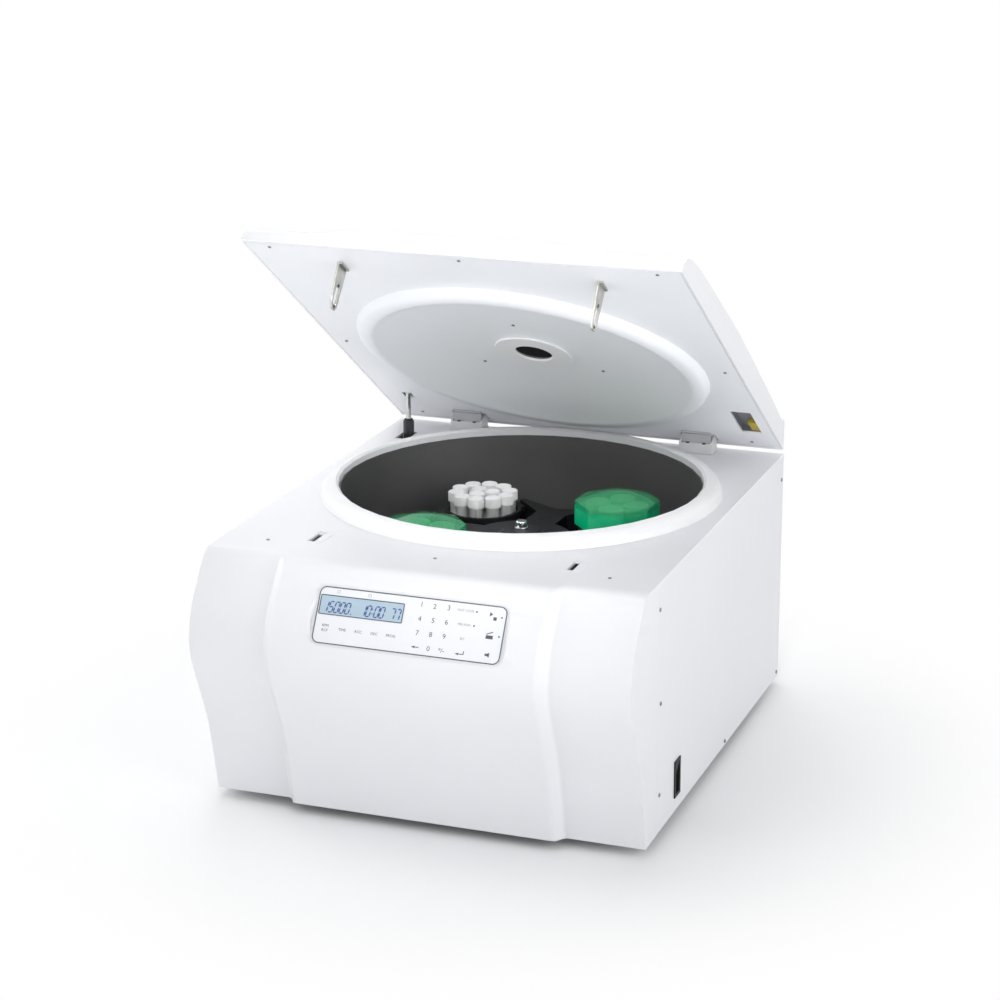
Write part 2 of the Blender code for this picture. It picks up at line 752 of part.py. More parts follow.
def control_panel(plane):
    outline = round_corners(PANEL_WIDTH / 2, PANEL_HEIGHT / 2, PANEL_CORNER)
    overlay = flat("overlay", outline, OVERLAY_SHEET, plane, at(0, 0, -OVERLAY_SHEET / 2))
    cut(overlay, block("display_cut", *display_span(GAP, OVERRUN), parent=plane))
    dress(overlay, "control_panel_overlay", "overlay_white")
    low, high = display_span()
    low = (low[0], low[1], low[2] - BACKING_SHEET)
    dress(block("display", low, high, plane), "display_window", "display_blue")


def control_board(plane):
    """The board behind the panel, on four standoffs that meet the moulding's backing."""
    front = -OVERLAY_SHEET - 2 * GAP - BACKING_SHEET
    half = Vector((PANEL_WIDTH / 2, PANEL_HEIGHT / 2 - PANEL_CORNER, 0))
    board_front = front - BOARD_STANDOFF
    board = block("board", (-half.x, -half.y, board_front - BOARD_SHEET), (half.x, half.y, board_front),
                  plane)
    spots = [(x * (half.x - PANEL_CORNER), y * (half.y - PANEL_CORNER),
              front - BOARD_STANDOFF / 2 - BOARD_SHEET / 2)
             for x in (-1, 1) for y in (-1, 1)]
    posts = rods("posts", PANEL_CORNER / 3, BOARD_STANDOFF + BOARD_SHEET, spots, parent=plane)
    return dress(join(board, posts), "control_board", "board_green")


# Chamber

def chamber_bowl():
    outer = BOWL_RADIUS + BOWL_WALL
    flange_top = TOP_Z - COVER_WALL - GAP
    floor = BOWL_FLOOR_Z
    fillet = [(BOWL_RADIUS - BOWL_FILLET, floor + BOWL_FILLET)]
    outside = arc(fillet[0], BOWL_FILLET + BOWL_WALL, 0, -90, 3)
    inside = arc(fillet[0], BOWL_FILLET, -90, 0, 3)
    profile = [
        (BOWL_RADIUS, TOP_Z + BOWL_RISE), (outer, TOP_Z + BOWL_RISE), (outer, flange_top),
        (outer + BOWL_FLANGE, flange_top), (outer + BOWL_FLANGE, flange_top - BOWL_WALL),
        (outer, flange_top - BOWL_WALL), *outside, (BOWL_BORE, floor - BOWL_WALL), (BOWL_BORE, floor),
        *inside]
    return dress(turned("bowl", profile, matrix=at(0, BOWL_Y, 0)), "chamber_bowl", "bowl_dark")


def chamber_collar():
    inner = COLLAR_RADIUS
    foot = COLLAR_FOOT
    high = TOP_Z + COLLAR_HEIGHT
    width = foot - inner
    seat = TOP_Z + GAP
    profile = [
        (inner + width * 0.15, high), (inner + width * 0.40, high - COLLAR_HEIGHT * 0.04),
        (inner + width * 0.68, high - COLLAR_HEIGHT * 0.22),
        (inner + width * 0.88, high - COLLAR_HEIGHT * 0.55),
        (foot, seat), (HOLE_RADIUS - GAP, seat), (HOLE_RADIUS - GAP, TOP_Z - COVER_WALL + GAP),
        (inner, TOP_Z - COVER_WALL + GAP), (inner, high - COLLAR_HEIGHT * 0.15)]
    return dress(turned("collar", profile, matrix=at(0, BOWL_Y, 0)), "chamber_collar", "collar_white")


def insulation_jacket():
    """Foam round the bowl and its coil, open for the shaft at the bottom."""
    coil_room = (coil_radius() + COIL_TUBE + GAP) / math.cos(math.pi / WIDE_STEPS)
    top = TOP_Z - COVER_WALL - BOWL_WALL - 2 * GAP
    floor = BOWL_FLOOR_Z - BOWL_WALL - GAP
    shoulder = BOWL_FLOOR_Z + BOWL_FILLET
    middle = (BOWL_RADIUS - BOWL_FILLET, shoulder)
    profile = [
        (coil_room, top), (JACKET_RADIUS, top), (JACKET_RADIUS, floor - 2 * COIL_TUBE),
        (BOOT_FOOT_RADIUS + BOWL_WALL, floor - 2 * COIL_TUBE), (BOOT_FOOT_RADIUS + BOWL_WALL, floor),
        *arc(middle, BOWL_FILLET + BOWL_WALL + GAP, -90, 0, 3), (coil_room, shoulder)]
    jacket = turned("jacket", profile, WIDE_STEPS, matrix=at(0, BOWL_Y, 0))
    return dress(jacket, "insulation_jacket", "foam_black")


def coil_radius():
    """The coil's corners stand so far out that its straight stretches still clear the bowl."""
    return (BOWL_RADIUS + BOWL_WALL + COIL_TUBE + GAP) / math.cos(math.pi / COIL_STEPS)


def coil_point(turn):
    """The middle of the evaporator tube after so many turns."""
    radius = coil_radius()
    angle = 2 * math.pi * turn
    low = BOWL_FLOOR_Z + BOWL_FILLET + COIL_FOOT
    high = TOP_Z - COIL_CROWN
    height = low + (high - low) * turn / COIL_TURNS
    return Vector((radius * math.sin(angle), BOWL_Y + radius * math.cos(angle), height))


def evaporator_coil():
    points = [coil_point(step / COIL_STEPS) for step in range(COIL_TURNS * COIL_STEPS + 1)]
    return dress(pipe("coil", points, COIL_TUBE, poly=True), "evaporator_coil", "copper")


# Drive

def motor_frame():
    """The plate over the motor, on four legs, with the three rubber mounts that carry the motor."""
    half = FRAME_WIDTH / 2
    low = BASE_Z + FRAME_HEIGHT
    high = low + FRAME_SHEET
    plate = block("frame", (-half, BOWL_Y - half, low), (half, BOWL_Y + half, high))
    cut(plate, rods("motor_hole", MOTOR_RADIUS + RUNNING_GAP * 2, OVERRUN * 2, [(0, BOWL_Y, low)],
                    steps=ROUND_STEPS))
    spots = [(x * (half - FRAME_LEG * 2), BOWL_Y + y * (half - FRAME_LEG * 2),
              (FLOOR_Z + high) / 2 - FRAME_SHEET / 2)
             for x in (-1, 1) for y in (-1, 1)]
    legs = rods("legs", FRAME_LEG, high - FLOOR_Z - FRAME_SHEET, spots)
    top = BASE_Z + MOTOR_FLANGE_HEIGHT - GAP
    dampers = rods("dampers", DAMPER_RADIUS, top - low - FRAME_SHEET / 2, [
        (DAMPER_CIRCLE * math.cos(angle), BOWL_Y + DAMPER_CIRCLE * math.sin(angle),
         (top + low + FRAME_SHEET / 2) / 2)
        for angle in (2 * math.pi * step / DAMPER_COUNT for step in range(DAMPER_COUNT))])
    return dress(join(plate, legs, dampers), "motor_frame", "sheet_steel")


def motor_housing():
    base = BASE_Z
    flange = base + MOTOR_FLANGE_HEIGHT
    nose = base + MOTOR_NOSE_HEIGHT
    profile = [
        (0, nose), (MOTOR_NOSE_RADIUS, nose), (MOTOR_NOSE_RADIUS, flange + MOTOR_FLANGE_SHEET),
        (MOTOR_FLANGE, flange + MOTOR_FLANGE_SHEET), (MOTOR_FLANGE, flange), (MOTOR_RADIUS, flange),
        (MOTOR_RADIUS, base + MOTOR_FLOOR + MOTOR_NOSE_RADIUS / 2),
        (MOTOR_RADIUS - MOTOR_NOSE_RADIUS / 2, base + MOTOR_FLOOR),
        (0, base + MOTOR_FLOOR)]
    motor = turned("motor", profile, ROUND_STEPS, matrix=at(0, BOWL_Y, 0))
    return dress(motor, "motor_housing", "motor_grey")


def shaft_boot():
    """The rubber cone that seals the chamber floor round the shaft, on the motor's flange."""
    low = BASE_Z + MOTOR_FLANGE_HEIGHT + MOTOR_FLANGE_SHEET + GAP
    high = BOWL_FLOOR_Z + BOOT_WALL * 2
    waist = BOWL_FLOOR_Z - BOWL_WALL
    profile = [
        (BOOT_TOP_RADIUS, high), (BOOT_TOP_RADIUS, waist), (BOOT_FOOT_RADIUS, low),
        (BOOT_FOOT_RADIUS - BOOT_WALL, low),
        (BOOT_TOP_RADIUS - BOOT_WALL, waist), (BOOT_TOP_RADIUS - BOOT_WALL, high)]
    boot = turned("boot", profile, ROUND_STEPS, matrix=at(0, BOWL_Y, 0))
    return dress(boot, "shaft_boot", "rubber_black")


# Rotor

def rotor_outline():
    """The cross seen from above: a hub with four arms, each widening to carry two bucket pins."""
    reach = math.sqrt(HUB_RADIUS ** 2 - ARM_HALF_WIDTH ** 2)
    root = ((reach + ARM_HALF_WIDTH) / math.sqrt(2), (reach - ARM_HALF_WIDTH) / math.sqrt(2))
    side = ARM_CLEARANCE
    neck = side + ARM_HALF_WIDTH * math.sqrt(2)
    lower = [root, (neck, side), (ARM_REACH, side), (ARM_REACH, side + ARM_TIP)]
    half = lower + [(ARM_WAIST, ARM_WAIST)] + [(y, x) for x, y in reversed(lower)]
    quarter = arc((0, 0), HUB_RADIUS, -14, 14, 3) + half
    outline = []
    for step in range(BUCKET_COUNT):
        turn = Matrix.Rotation(2 * math.pi * step / BUCKET_COUNT, 2)
        outline += [tuple(turn @ Vector(point)) for point in quarter]
    return outline


def rotor_cross(axis):
    cross = flat("cross", rotor_outline(), 2 * ARM_HALF_HEIGHT, axis)
    boss = turned("boss", [
        (SHAFT_RADIUS + GAP, HUB_BOSS_HEIGHT), (HUB_BOSS * 0.8, HUB_BOSS_HEIGHT),
        (HUB_BOSS, HUB_BOSS_HEIGHT - ARM_TIP),
        (HUB_BOSS * 1.6, 0), (HUB_BOSS, -HUB_BOSS_HEIGHT), (SHAFT_RADIUS + GAP, -HUB_BOSS_HEIGHT)],
        ROUND_STEPS, parent=axis)
    cut(cross, rods("shaft_hole", HUB_BOSS * 0.9, 4 * ARM_HALF_HEIGHT, [(0, 0, 0)], steps=ROUND_STEPS,
                    parent=axis))
    middle = ARM_CLEARANCE - PIN_LENGTH / 2
    length = PIN_LENGTH + ARM_TIP
    centre = middle + ARM_TIP / 2
    along_x = rods("pins_x", PIN_RADIUS, length, [
        (x * centre, y * BUCKET_CIRCLE, 0) for x in (-1, 1) for y in (-1, 1)], axis="X", parent=axis)
    along_y = rods("pins_y", PIN_RADIUS, length, [
        (x * BUCKET_CIRCLE, y * centre, 0) for x in (-1, 1) for y in (-1, 1)], axis="Y", parent=axis)
    return dress(join(cross, boss, along_x, along_y), "rotor_cross", "rotor_black")


def rotor_drive(axis):
    """The shaft below the hub, and the nut that holds the cross on it."""
    low = MOTOR_NOSE_HEIGHT + GAP - PIVOT_HEIGHT
    high = HUB_BOSS_HEIGHT - GAP
    shaft = rods("shaft", SHAFT_RADIUS, high - low, [(0, 0, (low + high) / 2)], steps=ROUND_STEPS,
                 parent=axis)
    dress(shaft, "drive_shaft", "bright_steel")
    seat = HUB_BOSS_HEIGHT + GAP
    nut = turned("nut", [
        (0, seat + NUT_HEIGHT), (NUT_RADIUS * 0.8, seat + NUT_HEIGHT),
        (NUT_RADIUS, seat + NUT_HEIGHT * 0.85),
        (NUT_RADIUS, seat + NUT_HEIGHT / 4), (NUT_FLANGE, seat + NUT_HEIGHT / 4), (NUT_FLANGE, seat),
        (0, seat)],
        ROUND_STEPS, parent=axis)
    dress(nut, "rotor_nut", "chrome")


def bucket(name, pivot):
    """A round cup that hangs on the cross by two slotted pads; its origin is on the line of the pins."""
    low = -BUCKET_DEPTH
    rim = BUCKET_RIM
    outer = BUCKET_RADIUS
    wall = BUCKET_WALL
    corners = [(outer, low + BUCKET_CHAMFER), (outer - BUCKET_CHAMFER, low + BUCKET_HEEL)]
    inside = [(radius - wall, height + wall * 0.6) for radius, height in reversed(corners)]
    cup = turned("cup", [
        (outer - wall, rim), (outer + RIM_OVERHANG, rim), (outer + RIM_OVERHANG, rim - RIM_BAND),
        (outer, rim - RIM_BAND - RIM_OVERHANG), *corners, (BUCKET_BASE_RADIUS, low), (0, low),
        (0, low + wall),
        (BUCKET_BASE_RADIUS - wall / 2, low + wall), *inside], ROUND_STEPS, parent=pivot)
    pads = blocks("pads", [
        ((-PAD_HALF_WIDTH, *sorted((side * (outer - BUCKET_WALL * 0.9), side * PAD_REACH))[:1],
          -PAD_HALF_HEIGHT),
         (PAD_HALF_WIDTH, *sorted((side * (outer - BUCKET_WALL * 0.9), side * PAD_REACH))[1:],
          PAD_HALF_HEIGHT - RIM_OVERHANG))
        for side in (-1, 1)], parent=pivot)
    slot = PIN_RADIUS + PIN_CLEARANCE
    reach = PAD_REACH + OVERRUN
    start = outer + PIN_CLEARANCE
    middle = (reach + start) / 2
    rounds = rods("slot_rounds", slot, reach - start, [(0, side * middle, 0) for side in (-1, 1)], axis="Y",
                  parent=pivot)
    mouths = blocks("slot_mouths", [
        ((-slot, min(side * start, side * reach), -PAD_HALF_HEIGHT - OVERRUN),
         (slot, max(side * start, side * reach), 0))
        for side in (-1, 1)], parent=pivot)
    cut(join(cup, pads), rounds, mouths)
    return dress(cup, name, "rotor_black")


def bucket_cap(name, pivot):
    seat = BUCKET_RIM + GAP
    wall = CAP_WALL
    corner = CAP_CORNER_RADIUS
    cap = turned("cap", [
        (0, CAP_TOP), (CAP_FLAT, CAP_TOP), (corner, CAP_SHOULDER), (corner, seat), (corner - wall, seat),
        (corner - wall, CAP_SHOULDER - wall), (CAP_FLAT, CAP_TOP - wall), (0, CAP_TOP - wall)],
        CAP_SIDES, parent=pivot, matrix=Matrix.Rotation(math.pi / CAP_SIDES, 4, "Z"))
    return dress(cap, name, "cap_green")


def tube_rack(name, pivot):
    """A rack with its capped tubes, standing in the bucket."""
    low = -BUCKET_DEPTH + BUCKET_WALL + GAP
    rack = turned("rack", [
        (0, RACK_TOP), (RACK_RADIUS, RACK_TOP), (RACK_RADIUS, low + BUCKET_CHAMFER),
        (BUCKET_BASE_RADIUS - BUCKET_WALL, low), (0, low)],
        ROUND_STEPS, parent=pivot)
    spots = [(radius * math.cos(2 * math.pi * step / count), radius * math.sin(2 * math.pi * step / count))
             for count, radius in ((TUBES_INSIDE, INSIDE_RING), (TUBES_OUTSIDE, OUTSIDE_RING))
             for step in range(count)]
    cap_low = TUBE_CAP_TOP - TUBE_CAP_HEIGHT
    foot = RACK_TOP - BUCKET_WALL
    tubes = rods("tubes", TUBE_RADIUS, cap_low + BUCKET_WALL - foot, [
        (x, y, (cap_low + BUCKET_WALL + foot) / 2) for x, y in spots], steps=6, parent=pivot)
    caps = rods("caps", TUBE_CAP_RADIUS, TUBE_CAP_HEIGHT, [
        (x, y, TUBE_CAP_TOP - TUBE_CAP_HEIGHT / 2) for x, y in spots], steps=8, parent=pivot)
    return dress(join(rack, tubes, caps), name, "cap_white")


def rotor():
    axis = empty("rotor_axis", (0, BOWL_Y, PIVOT_Z), (0, 0, ROTOR_TURN))
    rotor_cross(axis)
    rotor_drive(axis)
    for step in range(BUCKET_COUNT):
        angle = 2 * math.pi * step / BUCKET_COUNT
        spot = (BUCKET_CIRCLE * math.cos(angle), BUCKET_CIRCLE * math.sin(angle), 0)
        pivot = empty(f"bucket_pivot_{step + 1}", spot, (0, 0, angle), axis)
        bucket(f"bucket_{step + 1}", pivot)
        if step % 2 == 0:
            bucket_cap(f"bucket_cap_{step + 1}", pivot)
        else:
            tube_rack(f"tube_rack_{step + 1}", pivot)


# Lid, in its own frame: the origin on the hinge axis, the underside at zero height when closed

def lid_y(distance):
    """The place of a point so far forward of the lid's rear edge."""
    return HINGE_SETBACK - distance


def lid_shell(axis):
    columns = [(0.0, 1.0), (BAND_HALF_WIDTH, 1.0)]
    columns += [(BAND_HALF_WIDTH + across * BAND_STEP_WIDTH, raised) for across, raised in BAND_STEP_SHARES]
    columns.append((HALF_WIDTH, 0.0))
    rows = []
    for along, up in LID_PROFILE_SHARES:
        band = BAND_RAISE if BAND_FROM_SHARE < along < BAND_TO_SHARE else 0.0
        rows.append([Vector((x, lid_y(along * LID_LENGTH), up * LID_HEIGHT + raised * band))
                     for x, raised in columns])
    side = [[row[-1], Vector((HALF_WIDTH, row[-1].y, 0.0))] for row in rows]
    top = shell(half_sheet("lid", (rows, side), axis), LID_WALL)
    port = rods("port", RING_TUBE + GAP, LID_HEIGHT * 2, [(0, lid_bowl_y(), LID_HEIGHT)], steps=ROUND_STEPS,
                parent=axis)
    return dress(cut(top, port), "lid_shell", "cabinet_white")


def lid_bowl_y():
    """The chamber's middle in the lid's frame."""
    return BOWL_Y - HINGE_Y


def lid_liner(axis):
    half = HALF_WIDTH - LID_WALL - 2 * GAP
    plate = block("liner", (-half, lid_y(LID_LENGTH - LINER_FRONT), 0),
                  (half, lid_y(LINER_REAR), LINER_SHEET), axis)
    middle = lid_bowl_y()
    tuck = LINER_SHEET / 4
    cut(plate, rods("boss_hole", BOSS_RADIUS - tuck, OVERRUN * 2, [(0, middle, 0)], steps=WIDE_STEPS,
                    parent=axis))
    dish = [(share * BOSS_CREST, rise * (DISH_RISE if rise > 0 else BOSS_DROP))
            for share, rise in DISH_PROFILE_SHARES]
    upper = [(radius, height + LINER_SHEET) for radius, height in reversed(dish)]
    rim = BOSS_RADIUS
    under = [(rim + LINER_SHEET * 2, LINER_SHEET - tuck), (rim + LINER_SHEET * 2, tuck), (rim, tuck),
             (rim - BOSS_DROP * 0.2, -BOSS_DROP * 0.5), (rim - BOSS_DROP * 0.7, -BOSS_DROP * 0.9),
             (BOSS_CREST, -BOSS_DROP)]
    over = [(BOSS_CREST, LINER_SHEET - BOSS_DROP), (rim - BOSS_DROP * 0.7, LINER_SHEET - BOSS_DROP * 0.9),
            (rim - BOSS_DROP * 0.2 - LINER_SHEET, -BOSS_DROP * 0.5),
            (rim - LINER_SHEET, LINER_SHEET - tuck)]
    profile = under + dish + [(LINER_BORE, DISH_RISE), (LINER_BORE, DISH_RISE + LINER_SHEET)] + upper + over
    boss = turned("boss_dish", profile, parent=axis, matrix=at(0, middle, 0))
    join(plate, boss)
    barrel = HINGE_HALF_WIDTH + RUNNING_GAP
    openings = [((side * HINGE_HALF_SPACING - barrel, -HINGE_BACK - GAP, -OVERRUN),
                 (side * HINGE_HALF_SPACING + barrel, HINGE_BACK + GAP, OVERRUN)) for side in (-1, 1)]
    strut_back = lid_y(STRUT_POCKET_FROM)
    openings.append(((STRUT_X - STRUT_POCKET_WIDTH / 2, strut_back - STRUT_POCKET_LENGTH, -OVERRUN),
                     (STRUT_X + STRUT_POCKET_WIDTH / 2, strut_back, OVERRUN)))
    pocket_x = HALF_WIDTH - POCKET_INSET
    pocket_y = lid_y(POCKET_DISTANCE)
    openings.append(((pocket_x - POCKET_WIDTH / 2, pocket_y - POCKET_LENGTH / 2, -OVERRUN),
                     (pocket_x + POCKET_WIDTH / 2, pocket_y + POCKET_LENGTH / 2, OVERRUN)))
    cut(plate, blocks("liner_openings", openings, axis))
    return dress(plate, "lid_liner", "liner_white")


def window_ring(axis):
    """The viewing port: a flanged tube through the lid, and the clear plug that fills it up to a lip."""
    seat = DISH_RISE - GAP
    drop = DISH_RISE - RING_DROP
    top = LID_HEIGHT + BAND_RAISE / 2
    lip = WINDOW_RADIUS - WINDOW_LIP
    profile = [
        (lip, top), (RING_TUBE, top), (RING_TUBE, seat), (RING_RADIUS - RING_DROP / 3, seat),
        (RING_RADIUS, seat - RING_DROP / 2), (RING_RADIUS - RING_DROP / 3, drop),
        (WINDOW_RADIUS + RING_DROP / 3, drop), (WINDOW_RADIUS, drop + RING_DROP / 3),
        (WINDOW_RADIUS, top - WINDOW_LIP), (lip, top - WINDOW_LIP)]
    ring = turned("ring", profile, ROUND_STEPS, parent=axis, matrix=at(0, lid_bowl_y(), 0))
    dress(ring, "lid_window_ring", "collar_white")
    low = drop + WINDOW_RECESS
    high = top - WINDOW_LIP - GAP
    plug = rods("plug", WINDOW_RADIUS - GAP, high - low, [(0, lid_bowl_y(), (low + high) / 2)],
                steps=ROUND_STEPS, parent=axis)
    dress(plug, "lid_window", "window_clear")


def latch_hook(side, name, axis):
    """A tapered plate that hangs from the liner, with a window for the pawl and a bent foot."""
    wide = HOOK_WIDTH / 2
    tip = HOOK_TIP_WIDTH / 2
    foot_z = -GAP
    middle = lid_y(HOOK_DISTANCE)
    outline = [(-wide, foot_z), (-wide, foot_z - HOOK_LENGTH / 3), (-tip, -HOOK_LENGTH + tip / 2),
               (-tip / 2, -HOOK_LENGTH),
               (tip / 2, -HOOK_LENGTH), (tip, -HOOK_LENGTH + tip / 2), (wide, foot_z - HOOK_LENGTH / 3),
               (wide, foot_z)]
    x = side * SLOT_HALF_SPACING
    plate = flat("hook", outline, HOOK_SHEET, axis, facing_side(x, middle, 0))
    half = HOOK_WINDOW_WIDTH / 2
    window = block("window", (x - OVERRUN, middle - half, -HOOK_WINDOW_FROM - HOOK_WINDOW_LENGTH),
                   (x + OVERRUN, middle + half, -HOOK_WINDOW_FROM), axis)
    foot = block("foot", (x, middle - wide, foot_z - HOOK_SHEET), (x + HOOK_FOOT, middle + wide, foot_z),
                 axis)
    return dress(cut(join(plate, foot), window), name, "bright_steel")


def hinge_leaf(side, name, axis):
    """The moving half: a barrel round the pin, a plate under the liner and a tab that hangs from it."""
    half = HINGE_HALF_WIDTH - HINGE_EAR - GAP
    x = side * HINGE_HALF_SPACING
    barrel = rods("barrel", BARREL_RADIUS, 2 * half, [(x, 0, 0)], axis="X", parent=axis)
    plate = block("leaf", (x - half, -HINGE_BACK - LEAF_LENGTH / 2, -GAP - LEAF_SHEET), (x + half, 0, -GAP),
                  axis)
    bore = rods("bore", HINGE_PIN + GAP, 4 * half, [(x, 0, 0)], axis="X", parent=axis)
    middle = TAB_TOP - TAB_HEIGHT / 2
    upright = Matrix.Rotation(LID_OPEN, 4, "X") @ facing_front(x, -TAB_SETBACK, middle)
    tab = flat("tab", round_corners(half, TAB_HEIGHT / 2, TAB_HEIGHT / 6), LEAF_SHEET, axis, upright)
    return dress(cut(join(barrel, plate, tab), bore), name, "hinge_grey")


def strut_stud(axis):
    """The plate inside the lid whose stud meets the head of the strut's rod."""
    near = STRUT_X + STRUT_HEAD_WIDTH / 2 + GAP
    far = near + STUD_PLATE + GAP
    y = lid_y(STRUT_LID_DISTANCE)
    half = STUD_PLATE_HALF_WIDTH
    high = LID_HEIGHT * 0.8 - LID_WALL
    plate = block("stud_plate", (far - STUD_PLATE, y - half, LINER_SHEET + GAP), (far, y + half, high),
                  axis)
    stud = rods("stud", STRUT_PIN, far - near, [((near + far) / 2, y, STRUT_LID_RISE)], axis="X",
                parent=axis)
    return dress(join(plate, stud), "strut_lid_stud", "bright_steel")


def lid():
    axis = empty("lid_axis", (0, HINGE_Y, HINGE_Z), (-LID_OPEN, 0, 0))
    lid_shell(axis)
    lid_liner(axis)
    window_ring(axis)
    strut_stud(axis)
    for side, word in ((-1, "left"), (1, "right")):
        latch_hook(side, f"latch_hook_{word}", axis)
        hinge_leaf(side, f"hinge_leaf_{word}", axis)
        hinge_bracket(side, f"hinge_bracket_{word}")


def hinge_bracket(side, name):
    """The fixed half: a pad on the cabinet with a front wall, two ears and the pin."""
    x = side * HINGE_HALF_SPACING
    half = HINGE_HALF_WIDTH
    seat = TOP_Z + GAP
    front = HINGE_Y - HINGE_FRONT
    back = HINGE_Y + HINGE_BACK
    pad = block("pad", (x - half, front, seat), (x + half, back, seat + HINGE_PAD))
    wall = block("wall", (x - half, front, seat), (x + half, front + HINGE_EAR, seat + HINGE_FRONT_HEIGHT))
    rise = HINGE_Z - seat
    wing = HINGE_FRONT_HEIGHT
    outline = [(-HINGE_FRONT, -rise), (-HINGE_FRONT, wing - rise), *arc((0, 0), EAR_RADIUS, 130, -20, 5),
               (EAR_RADIUS, -rise)]
    ears = [flat("ear", outline, HINGE_EAR, None,
                 facing_side(x + way * (half - HINGE_EAR / 2), HINGE_Y, HINGE_Z))
            for way in (-1, 1)]
    pin = rods("pin", HINGE_PIN, 2 * half - HINGE_EAR, [(x, HINGE_Y, HINGE_Z)], axis="X")
    return dress(join(pad, wall, *ears, pin), name, "collar_white")


# Latches in the cabinet

def latch(side, word):
    """A box under the slot and the pawl that swings into the hook's window."""
    x = side * SLOT_HALF_SPACING
    top = TOP_Z - COVER_WALL - GAP
    half = Vector((LATCH_BOX_WIDTH / 2, LATCH_BOX_LENGTH / 2, 0))
    wall = Vector((LATCH_BOX_WALL, LATCH_BOX_WALL, 0))
    low = Vector((x, SLOT_Y, top - LATCH_BOX_DEPTH))
    high = Vector((x, SLOT_Y, top))
    box = block("latch", low - half, high + half)
    room = block("room", low - half + wall + Vector((0, 0, LATCH_BOX_WALL)),
                 high + half - wall + Vector((0, 0, OVERRUN)))
    pivot = Vector((x + side * PAWL_OFFSET, SLOT_Y, pawl_height()))
    pin = rods("pawl_pin", PAWL_PIN, LATCH_BOX_LENGTH - LATCH_BOX_WALL, [pivot], axis="Y")
    dress(join(cut(box, room), pin), f"latch_box_{word}", "sheet_steel")
    nose = [(0, PAWL_RADIUS), *arc((0, 0), PAWL_RADIUS, 90, 270, 6), (PAWL_REACH * 0.6, -PAWL_RADIUS),
            (PAWL_REACH, -PAWL_NOSE), (PAWL_REACH, 0)]
    outline = [(-side * across, up) for across, up in nose]
    spin = Matrix.Rotation(side * PAWL_SWING, 4, "Y")
    stand = at(*pivot) @ spin
    hook_y = HINGE_Y + lid_y(HOOK_DISTANCE)
    shift = at(0, hook_y - SLOT_Y, 0)
    pawl = flat("pawl", outline, PAWL_SHEET, None, stand @ shift @ Matrix.Rotation(math.pi / 2, 4, "X"))
    bore = rods("pawl_bore", PAWL_PIN + GAP, LATCH_BOX_LENGTH, [pivot], axis="Y")
    dress(cut(pawl, bore), f"latch_pawl_{word}", "bright_steel")


def pawl_height():
    """The pawls pivot a little above the lower edge of the hooks' windows when the lid is shut."""
    return HINGE_Z - HOOK_WINDOW_FROM - HOOK_WINDOW_LENGTH + PAWL_SEAT


# Gas strut

def strut_foot():
    return Vector((STRUT_X, STRUT_FOOT_Y, TOP_Z - STRUT_FOOT_DROP))


def strut_head():
    """Where the lid's stud stands while the lid is open."""
    y = lid_y(STRUT_LID_DISTANCE)
    z = STRUT_LID_RISE
    return Vector((STRUT_X, HINGE_Y + y * math.cos(LID_OPEN) + z * math.sin(LID_OPEN),
                   HINGE_Z - y * math.sin(LID_OPEN) + z * math.cos(LID_OPEN)))


def gas_strut():
    foot = strut_foot()
    reach = strut_head() - foot
    lean = -math.atan2(reach.y, reach.z)
    axis = empty("strut_axis", foot, (lean, 0, 0))
    tube = turned("tube", [
        (ROD_RADIUS + ROD_BORE_CLEARANCE, STRUT_LENGTH), (STRUT_RADIUS, STRUT_LENGTH),
        (STRUT_RADIUS, STRUT_EYE_RADIUS * 0.6),
        (0, STRUT_EYE_RADIUS * 0.6), (0, STRUT_EYE_RADIUS * 2),
        (ROD_RADIUS + ROD_BORE_CLEARANCE, STRUT_EYE_RADIUS * 2)],
        ROUND_STEPS // 2, parent=axis)
    eye = rods("eye", STRUT_EYE_RADIUS, STRUT_HEAD_WIDTH, [(0, 0, 0)], axis="X", steps=ROUND_STEPS,
               parent=axis)
    bore = rods("eye_bore", STRUT_PIN + GAP, 2 * STRUT_HEAD_WIDTH, [(0, 0, 0)], axis="X", parent=axis)
    dress(cut(join(tube, eye), bore), "strut_tube", "strut_black")
    low = STRUT_LENGTH - ROD_OVERLAP
    rod = rods("rod", ROD_RADIUS, reach.length - low, [(0, 0, (reach.length + low) / 2)], parent=axis)
    head = rods("head", STRUT_HEAD_RADIUS, STRUT_HEAD_WIDTH, [(0, 0, reach.length)], axis="X",
                steps=ROUND_STEPS, parent=axis)
    dress(join(rod, head), "strut_rod", "chrome")
    inside = -SIDE_INSIDE
    plate = block("plate", (inside, foot.y - STRUT_EYE_RADIUS * 2, foot.z - STRUT_EYE_RADIUS * 2),
                  (inside + STUD_PLATE, foot.y + STRUT_EYE_RADIUS * 2, foot.z + STRUT_EYE_RADIUS * 2))
    near = STRUT_X - STRUT_HEAD_WIDTH / 2 - GAP
    arm = rods("arm", STRUT_EYE_RADIUS / 2, near - inside - STUD_PLATE / 2,
               [((near + inside + STUD_PLATE / 2) / 2, foot.y, foot.z)],
               axis="X", steps=ROUND_STEPS)
    tip = STRUT_X + STRUT_HEAD_WIDTH / 2
    pin = rods("strut_pin", STRUT_PIN, tip - near + STUD_PLATE,
               [((tip + near - STUD_PLATE) / 2, foot.y, foot.z)], axis="X")
    dress(join(plate, arm, pin), "strut_bracket", "sheet_steel")


# Power switch and inlet

def switch_place():
    return Vector((HALF_WIDTH, TOE_Y + SWITCH_SETBACK, BASE_Z + SWITCH_HEIGHT))


